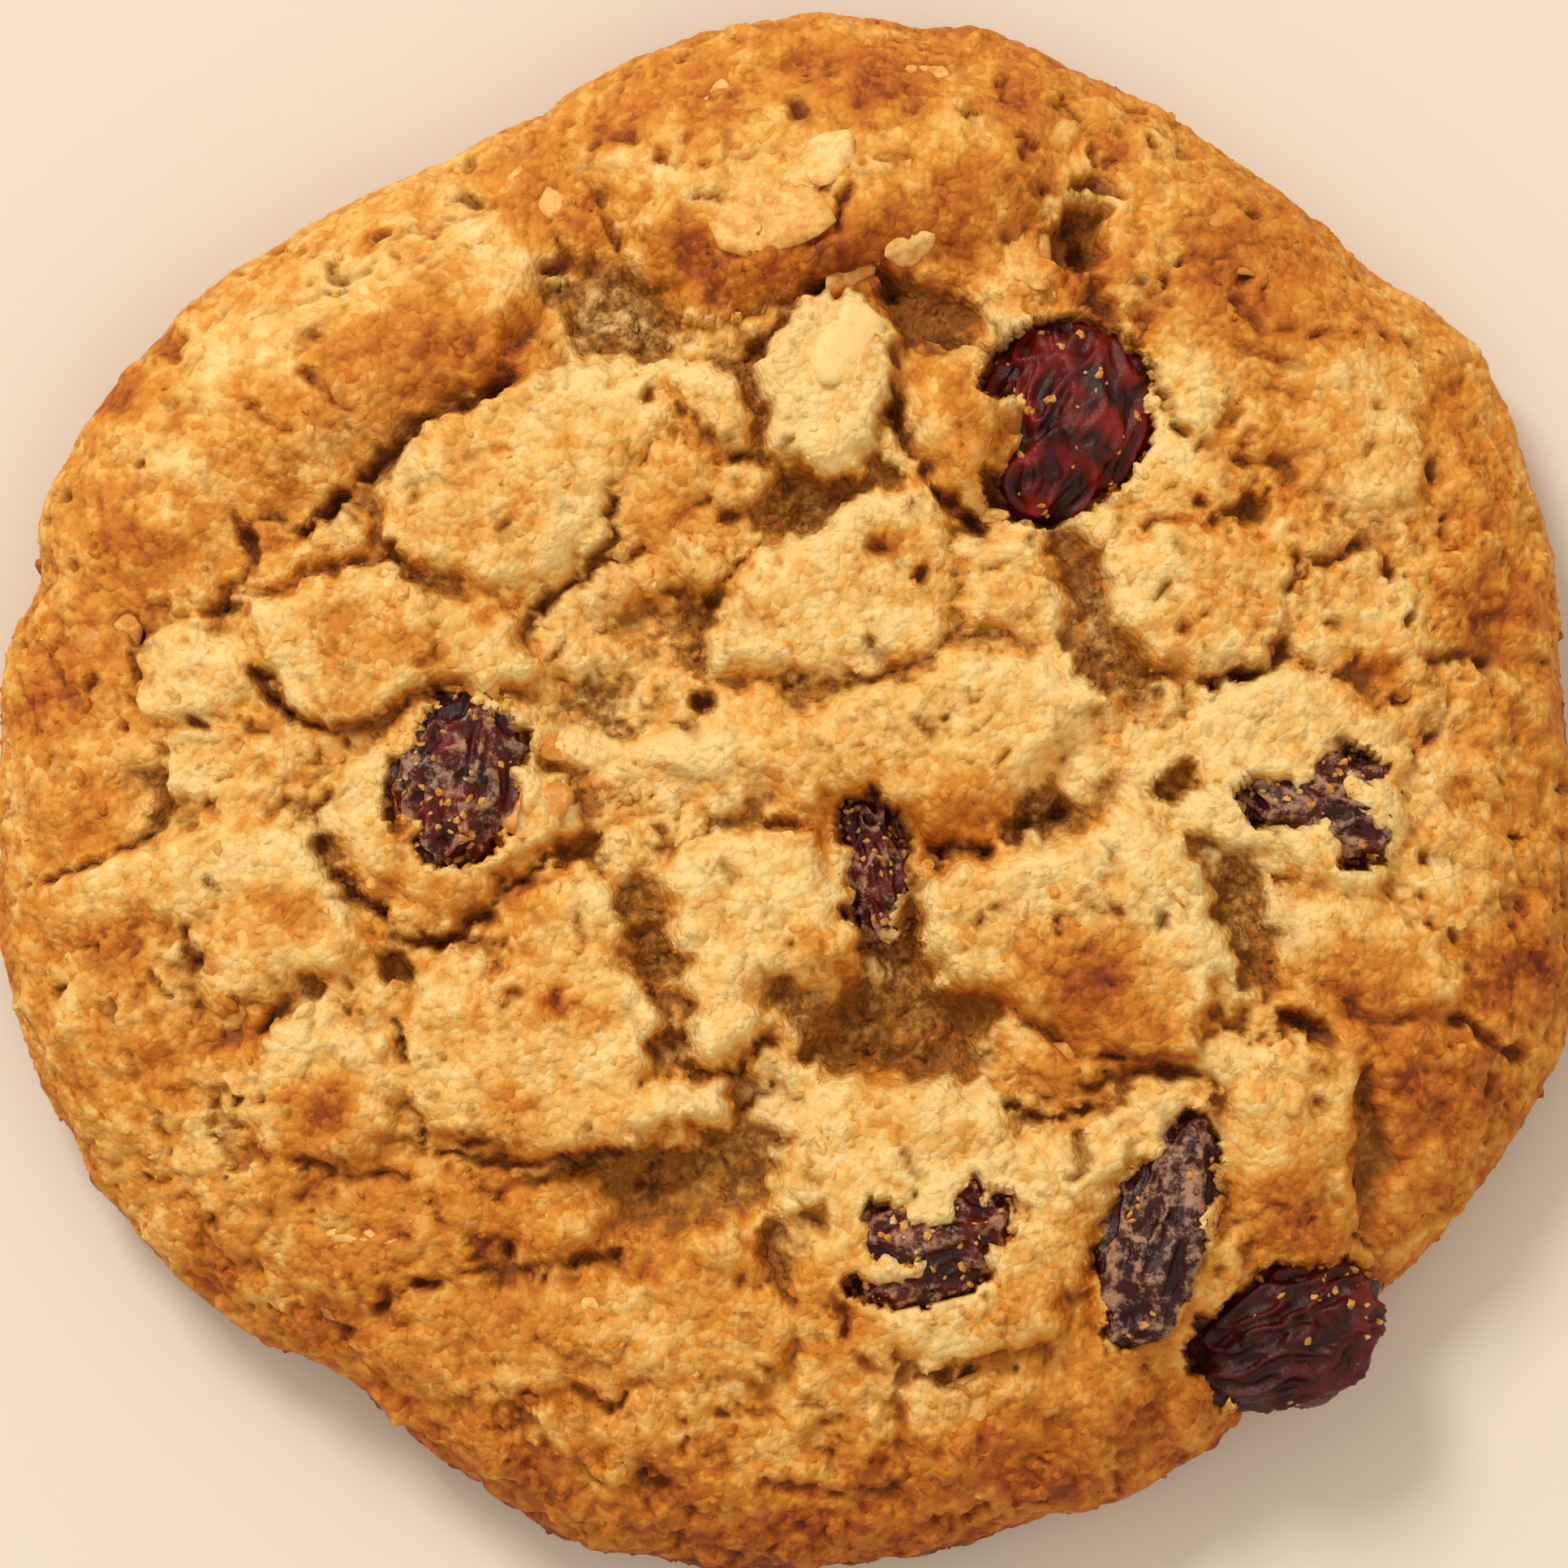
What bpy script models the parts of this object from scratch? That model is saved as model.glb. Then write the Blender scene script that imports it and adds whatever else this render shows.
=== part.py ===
"""An oatmeal raisin cookie, baked as one drop of chunky dough with seven raisins in it.

The dough is one solid: a flat base, a rounded edge that is widest a little above the base, and a
domed top broken into lumps. Each raisin is a wrinkled solid of its own, pressed into a pocket that
is cut for it. The origin is the middle of the base, +Z is up, and lengths are in metres.
"""

import math

import bmesh
import bpy
from mathutils import Vector

MM = 0.001

# The dough as it came off the tray
PLAIN_RADIUS = 38.6 * MM
WAIST_HEIGHT = 3.6 * MM
DOME_HEIGHT = 7.8 * MM
SHOULDER_POWER = 3.6
UNDERCUT = 0.045
SUBDIVISIONS = 5
TOP_END = math.radians(118.0)
SIDE_END = math.radians(140.0)

# Where the edge spread further or less far than the plain radius, in degrees and millimetres:
# bearing from +X, spread to either side, height
SWELLS = (
    (25.0, 14.0, 2.0),
    (116.0, 22.0, -3.1),
    (158.0, 16.0, 0.8),
    (198.0, 18.0, 1.4),
    (237.0, 12.0, -1.5),
    (264.0, 16.0, 0.7),
    (295.0, 10.0, 0.7),
    (340.0, 16.0, 2.3),
)

# Lumps of the top, in millimetres and degrees:
# middle x, middle y, half length, half width, turn, rise over the dome
LUMPS = (
    (-25.0, 20.5, 15.0, 7.0, 40.0, 2.2),
    (4.0, 30.0, 13.0, 7.0, 0.0, 2.4),
    (22.0, 24.5, 8.0, 6.0, -40.0, 1.6),
    (31.0, 12.0, 6.0, 9.0, 10.0, 1.2),
    (-30.0, 10.3, 4.2, 3.2, 0.0, 2.2),
    (-13.5, 14.8, 6.4, 5.0, 20.0, 2.0),
    (-20.8, 6.2, 7.0, 3.9, 8.0, 2.1),
    (-28.6, 4.6, 3.6, 3.6, 0.0, 1.6),
    (2.0, 19.6, 4.0, 4.9, 0.0, 2.6),
    (8.2, 16.8, 3.7, 4.0, 0.0, 2.2),
    (3.5, 9.5, 6.5, 4.4, 10.0, 1.9),
    (10.8, 9.4, 3.8, 3.6, 0.0, 1.8),
    (9.8, 2.4, 8.4, 4.2, 12.0, 2.7),
    (20.0, 8.4, 5.4, 4.2, 0.0, 2.0),
    (28.0, 8.0, 3.6, 3.6, 0.0, 1.6),
    (24.0, 1.5, 5.0, 4.6, -10.0, 1.5),
    (-28.5, -6.0, 8.0, 5.2, 22.0, 2.0),
    (-16.6, -1.2, 6.4, 6.6, 0.0, 2.3),
    (-12.8, -11.5, 6.2, 7.2, 0.0, 2.6),
    (-23.0, -14.5, 4.6, 5.4, 0.0, 1.7),
    (-0.6, -8.4, 4.6, 6.6, -14.0, 2.7),
    (14.5, -8.6, 7.6, 5.4, -12.0, 2.8),
    (5.5, -19.5, 9.0, 6.0, -8.0, 1.8),
    (18.2, -22.5, 4.4, 7.0, -14.0, 1.8),
    (28.0, -8.4, 5.0, 3.6, -8.0, 1.6),
    (25.6, -18.4, 4.4, 6.0, 10.0, 1.7),
    (12.0, -30.6, 8.5, 3.6, 8.0, 1.4),
    (-20.0, -23.0, 7.5, 3.6, 14.0, 1.4),
    (-7.0, -28.5, 9.0, 4.6, 6.0, 1.4),
    (-35.0, 0.5, 3.6, 8.0, 0.0, 1.0),
)
LUMP_FLATNESS = 2.6
LUMP_EDGE = 0.6

# Raisins, in millimetres and degrees: middle x, middle y, half length, half width, half height,
# turn about the vertical, and how far the top stands above the dough around it
RAISINS = (
    (13.7, 17.3, 5.5, 4.5, 3.1, 68.0, 1.3),
    (-16.0, -0.2, 4.7, 3.7, 2.8, 78.0, 0.6),
    (4.3, -4.6, 4.0, 2.3, 2.5, -78.0, 0.4),
    (26.4, -1.4, 4.6, 3.2, 2.5, -24.0, 0.5),
    (18.3, -22.6, 6.3, 2.9, 2.5, 73.0, 0.7),
    (7.0, -23.0, 4.9, 3.1, 2.4, 18.0, 0.5),
    (24.7, -27.3, 5.2, 3.9, 3.0, 22.0, 2.0),
)
RAISIN_SIDES = 16
RAISIN_BANDS = 11
WRINKLE_DEPTH = 0.09
WRINKLES_AROUND = 5
POCKET_GAP = 0.3 * MM

DOUGH_COLOUR = (0.55, 0.25, 0.06, 1.0)
RAISIN_COLOUR = (0.075, 0.012, 0.010, 1.0)


def clear_scene():
    for obj in list(bpy.data.objects):
        bpy.data.objects.remove(obj, do_unlink=True)


def new_collection(name, parent):
    collection = bpy.data.collections.new(name)
    parent.children.link(collection)
    return collection


def food_material(name, colour, roughness):
    """A Principled material for baked food, which is never metallic."""
    material = bpy.data.materials.new(name)
    material.use_nodes = True
    shader = material.node_tree.nodes["Principled BSDF"]
    shader.inputs["Base Color"].default_value = colour
    shader.inputs["Roughness"].default_value = roughness
    shader.inputs["Metallic"].default_value = 0.0
    return material


def edge_radius(bearing):
    """Radius of the cookie's edge at a bearing."""
    radius = PLAIN_RADIUS
    for middle, spread, height in SWELLS:
        away = (math.degrees(bearing) - middle + 180.0) % 360.0 - 180.0
        radius += height * MM * math.exp(-((away / spread) ** 2))
    return radius


def lump_rise(x, y):
    """How far the highest lump at this place stands above the dome."""
    rise = 0.0
    for middle_x, middle_y, half_length, half_width, turn, top in LUMPS:
        angle = math.radians(turn)
        dx = x / MM - middle_x
        dy = y / MM - middle_y
        along = (dx * math.cos(angle) + dy * math.sin(angle)) / half_length
        across = (dy * math.cos(angle) - dx * math.sin(angle)) / half_width
        inside = 1.0 - math.hypot(along, across) ** LUMP_FLATNESS
        if inside > 0.0:
            rise = max(rise, top * MM * inside**LUMP_EDGE)
    return rise


def top_height(x, y):
    """Height of the top surface over a point of the base."""
    share = min(1.0, math.hypot(x, y) / edge_radius(math.atan2(y, x)))
    dome = DOME_HEIGHT * math.sqrt(1.0 - share**SHOULDER_POWER)
    return WAIST_HEIGHT + dome + lump_rise(x, y) * (1.0 - share**6)


def on_dough(point):
    """Where a point of the unit sphere lies on the dough's skin."""
    bearing = math.atan2(point.y, point.x)
    radius = edge_radius(bearing)
    fall = math.acos(max(-1.0, min(1.0, point.z)))
    if fall < TOP_END:
        share = math.sin(fall / 2) / math.sin(TOP_END / 2)
        x = share * radius * math.cos(bearing)
        y = share * radius * math.sin(bearing)
        return Vector((x, y, top_height(x, y)))
    if fall < SIDE_END:
        angle = (fall - TOP_END) / (SIDE_END - TOP_END) * math.pi / 2
        share = 1.0 - UNDERCUT * (1.0 - math.cos(angle))
        height = WAIST_HEIGHT * (1.0 - math.sin(angle))
    else:
        share = (1.0 - UNDERCUT) * (math.pi - fall) / (math.pi - SIDE_END)
        height = 0.0
    return Vector((share * radius * math.cos(bearing), share * radius * math.sin(bearing), height))


def mesh_object(name, form, material, collection):
    mesh = bpy.data.meshes.new(name)
    form.to_mesh(mesh)
    form.free()
    mesh.materials.append(material)
    mesh.shade_smooth()
    obj = bpy.data.objects.new(name, mesh)
    collection.objects.link(obj)
    return obj


def make_dough(material, collection):
    """The baked dough: a sphere pressed to the cookie's outline, dome, lumps and flat base."""
    form = bmesh.new()
    bmesh.ops.create_icosphere(form, subdivisions=SUBDIVISIONS, radius=1.0)
    for vertex in form.verts:
        vertex.co = on_dough(vertex.co)
    return mesh_object("cookie_dough", form, material, collection)


def make_raisin(name, number, grown, material, collection):
    """One raisin, long axis along its own X, with furrows that run from end to end."""
    x, y, half_length, half_width, half_height, turn, proud = RAISINS[number]
    form = bmesh.new()
    bmesh.ops.create_uvsphere(form, u_segments=RAISIN_SIDES, v_segments=RAISIN_BANDS, radius=1.0)
    for vertex in form.verts:
        around = math.atan2(vertex.co.y, vertex.co.x)
        swell = math.hypot(vertex.co.x, vertex.co.y)
        furrow = math.cos(WRINKLES_AROUND * around + 1.7 * number + 2.0 * vertex.co.z)
        width = 1.0 + WRINKLE_DEPTH * furrow * swell
        vertex.co = Vector((
            vertex.co.z * (half_length * MM + grown),
            vertex.co.x * width * (half_width * MM + grown),
            vertex.co.y * width * (half_height * MM + grown),
        ))
    raisin = mesh_object(name, form, material, collection)
    surface = top_height(x * MM, y * MM)
    raisin.location = (x * MM, y * MM, surface + (proud - half_height) * MM)
    raisin.rotation_euler = (0.0, 0.0, math.radians(turn))
    return raisin


def cut_pockets(dough, pockets):
    """Takes the raisins' pockets out of the dough, each a little wider than its raisin."""
    cut = dough.modifiers.new("Raisin pockets", "BOOLEAN")
    cut.operation = "DIFFERENCE"
    cut.operand_type = "COLLECTION"
    cut.collection = pockets
    cut.solver = "EXACT"


def main():
    clear_scene()
    root = bpy.context.scene.collection
    cookie = new_collection("Oatmeal raisin cookie", root)
    pockets = new_collection("Pocket cutters", root)
    dough_finish = food_material("Baked dough", DOUGH_COLOUR, 0.75)
    raisin_finish = food_material("Raisin skin", RAISIN_COLOUR, 0.35)

    dough = make_dough(dough_finish, cookie)
    for number in range(len(RAISINS)):
        make_raisin(f"raisin_{number + 1}", number, 0.0, raisin_finish, cookie)
        cutter = make_raisin(f"pocket_{number + 1}", number, POCKET_GAP, raisin_finish, pockets)
        cutter.hide_render = True
        cutter.display_type = "WIRE"
    cut_pockets(dough, pockets)


main()
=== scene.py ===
"""An oatmeal raisin cookie lying on a pale table: baked dough, raisins, crumbs and rolled oats."""

import itertools
import math

import bpy
import numpy as np
from mathutils import Matrix, Vector


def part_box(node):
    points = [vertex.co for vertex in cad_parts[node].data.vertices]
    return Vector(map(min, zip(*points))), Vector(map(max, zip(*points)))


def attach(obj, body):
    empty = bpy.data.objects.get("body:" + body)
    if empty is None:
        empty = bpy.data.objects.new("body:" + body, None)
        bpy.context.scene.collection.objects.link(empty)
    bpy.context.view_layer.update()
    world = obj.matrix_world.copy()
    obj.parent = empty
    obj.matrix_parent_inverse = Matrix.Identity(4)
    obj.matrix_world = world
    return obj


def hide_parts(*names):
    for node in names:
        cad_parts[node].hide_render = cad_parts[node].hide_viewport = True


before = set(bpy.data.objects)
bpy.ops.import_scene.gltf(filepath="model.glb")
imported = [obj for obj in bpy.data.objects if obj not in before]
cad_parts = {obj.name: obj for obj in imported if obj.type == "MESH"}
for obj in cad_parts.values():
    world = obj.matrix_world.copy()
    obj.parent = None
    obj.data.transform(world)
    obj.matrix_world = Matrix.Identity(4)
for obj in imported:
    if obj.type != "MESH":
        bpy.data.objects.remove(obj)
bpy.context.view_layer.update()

# ---------------------------------------------------------------------------------------------
# The dough's skin. A drop of oat dough that spread on a flat tray: flat below, rounded at the
# edge and domed on top. It is one closed skin of rings, close together on top and wider apart
# underneath. All its sizes are in millimetres.

MM = 0.001
PLAIN_RADIUS = 38.6
# Where the edge spread further or less far: bearing in degrees, spread to either side, height
SWELLS = ((25, 14, 2.0), (116, 22, -3.1), (158, 16, 0.8), (198, 18, 1.4),
          (237, 12, -1.5), (264, 16, 0.7), (295, 10, 0.7), (340, 16, 2.3))
WAIST_HEIGHT = 3.6
DOME_HEIGHT = 7.8
SHOULDER_POWER = 3.6
BASE_SHARE = 0.955  # radius of the flat base, as a share of the waist's
TOP_STEP = 0.264  # spacing of the skin's points on top
BASE_STEP = 1.1  # and underneath


def edge_radius(bearing):
    """Radius of the edge at bearings in radians."""
    radius = np.full(np.shape(bearing), PLAIN_RADIUS)
    for middle, spread, height in SWELLS:
        away = (np.degrees(bearing) - middle + 180.0) % 360.0 - 180.0
        radius = radius + height * np.exp(-((away / spread) ** 2))
    return radius


def smooth_step(low, high, value):
    """0 below low, 1 above high, and an even rise between them."""
    share = np.clip((value - low) / (high - low), 0.0, 1.0)
    return share * share * (3.0 - 2.0 * share)


def section_line():
    """The cookie's cut line from the middle of the top to the middle of the base: share, height."""
    share = np.linspace(0.0, 1.0, 2000)
    top = np.stack([share, WAIST_HEIGHT + DOME_HEIGHT * np.sqrt(1.0 - share**SHOULDER_POWER)], 1)
    angle = np.linspace(0.0, math.pi / 2, 200)[1:]
    side = np.stack([1.0 - (1.0 - BASE_SHARE) * (1.0 - np.cos(angle)),
                     WAIST_HEIGHT * (1.0 - np.sin(angle))], 1)
    share = np.linspace(BASE_SHARE, 0.0, 500)[1:]
    base = np.stack([share, np.zeros(len(share))], 1)
    return np.concatenate([top, side, base])


def ring_places():
    """Share of the radius, height and outward direction of each ring, evenly spaced."""
    line = section_line()
    steps = np.linalg.norm(np.diff(line * [PLAIN_RADIUS, 1.0], axis=0), axis=1)
    on_base = line[:-1, 1] <= 0.0
    wanted = np.where(on_base, BASE_STEP - (BASE_STEP - TOP_STEP)
                      * smooth_step(BASE_SHARE - 0.08, BASE_SHARE, line[:-1, 0]), TOP_STEP)
    along = np.concatenate([[0.0], np.cumsum(steps / wanted)])
    count = int(round(along[-1]))
    places = np.linspace(0.0, along[-1], count + 1)
    share = np.interp(places, along, line[:, 0])
    height = np.interp(places, along, line[:, 1])
    slope = np.gradient(line * [PLAIN_RADIUS, 1.0], axis=0)
    slope /= np.linalg.norm(slope, axis=1)[:, None]
    out = np.interp(places, along, -slope[:, 1])
    up = np.interp(places, along, slope[:, 0])
    spacing = np.interp(places, along[1:], wanted)
    return share, height, out, up, spacing


def lace(first, count, second, other):
    """Triangles between two loops of points that run the same way round."""
    found, i, j = [], 0, 0
    while i < count or j < other:
        a, b = first + i % count, second + j % other
        if j == other or (i < count and (i + 1) * other <= (j + 1) * count):
            found.append((a, b, first + (i + 1) % count))
            i += 1
        else:
            found.append((a, b, second + (j + 1) % other))
            j += 1
    return found


points, outward, shares, triangles = [], [], [], []
before = None
ring_share, ring_height, ring_out, ring_up, ring_gap = ring_places()
for number in range(len(ring_share)):
    share, start = ring_share[number], sum(len(p) for p in points)
    around = math.tau * PLAIN_RADIUS * share / ring_gap[number]
    count = 1 if number in (0, len(ring_share) - 1) else max(6, int(round(around)))
    bearing = math.tau * np.arange(count) / count
    radius = share * edge_radius(bearing)
    cosine, sine = np.cos(bearing), np.sin(bearing)
    height = np.full(count, ring_height[number])
    points.append(np.stack([radius * cosine, radius * sine, height], 1))
    outward.append(np.stack([ring_out[number] * cosine, ring_out[number] * sine,
                             np.full(count, ring_up[number])], 1))
    shares.append(np.full(count, share))
    if before:
        last_start, last_count = before
        if last_count == 1:
            triangles += [(0, start + i, start + (i + 1) % count) for i in range(count)]
        elif count == 1:
            triangles += [(last_start + i, start, last_start + (i + 1) % last_count)
                          for i in range(last_count)]
        else:
            triangles += lace(last_start, last_count, start, count)
    before = (start, count)
skin = np.concatenate(points)
outward = np.concatenate(outward)
outward /= np.linalg.norm(outward, axis=1)[:, None]
share = np.concatenate(shares)
triangles = np.array(triangles)
x, y = skin[:, 0], skin[:, 1]
on_top = smooth_step(0.05, 0.45, outward[:, 2])
under = smooth_step(0.3, 0.9, -outward[:, 2])

# ---------------------------------------------------------------------------------------------
# The crumb. Oats and flour bake into lumps within lumps. The cookie broke into plates as it
# spread: each plate has a ragged edge, stands above the torn floor and slopes a little.


def dome(away):
    """Height of a round lump, 1 in its middle and 0 from its edge at 1 outwards."""
    return np.sqrt(np.clip(1.0 - away**2, 0.0, 1.0))


def round_spot(px, py, middle_x, middle_y, radius):
    """1 at a place, fading to all sides of it."""
    return np.exp(-(np.hypot(px - middle_x, py - middle_y) / radius) ** 2)


def scatter_number(cells, seed):
    """A repeatable number from 0 to 1 for each whole-number cell."""
    mixed = cells @ np.array([127.1, 311.7, 74.7]) + seed * 53.3
    return np.modf(np.abs(np.sin(mixed)) * 43758.5453)[0]


def drift(places, size, seed):
    """Smooth swells, size apart, from about -1 to 1."""
    scaled = places / size
    cell = np.floor(scaled)
    inside = scaled - cell
    fade = inside**3 * (inside * (inside * 6.0 - 15.0) + 10.0)
    total = np.zeros(len(places))
    for corner in itertools.product((0.0, 1.0), repeat=3):
        spread = np.stack([scatter_number(cell + corner, seed + k) for k in range(3)], 1) * 2 - 1
        weight = np.prod(np.where(np.array(corner) == 1.0, fade, 1.0 - fade), axis=1)
        total += weight * np.sum(spread * (inside - corner), axis=1)
    return total * 1.7


def nuggets(places, size, seed):
    """Scattered lumps, size apart: how far inside its edge a point is, and the lump's number."""
    scaled = places / size
    cell = np.floor(scaled)
    near = np.full(len(places), 9.0)
    second, tag = near.copy(), np.zeros(len(places))
    for step in itertools.product((-1.0, 0.0, 1.0), repeat=3):
        there = cell + step
        middle = there + np.stack([scatter_number(there, seed + k) for k in range(3)], 1)
        away = np.linalg.norm(scaled - middle, axis=1)
        closer = away < near
        second = np.where(closer, near, np.minimum(second, away))
        tag = np.where(closer, scatter_number(there, seed + 5), tag)
        near = np.where(closer, away, near)
    return second - near, near, tag


# How far an edge strays from its drawn line: wander in sweeps of a few millimetres, fine in crumbs
wander = np.stack([drift(skin, 4.5, 10 * k) * 0.6 + drift(skin, 1.9, 10 * k + 1) * 0.5
                   for k in (1, 2, 3)], 1)
fine = np.stack([drift(skin, 1.1, 41 + k) * 0.34 + drift(skin, 0.6, 43 + k) * 0.20
                 for k in (0, 7, 14)], 1)
wx, wy = x + 0.85 * wander[:, 0] + fine[:, 0], y + 0.85 * wander[:, 1] + fine[:, 1]
fx, fy = x + fine[:, 0], y + fine[:, 1]

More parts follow.
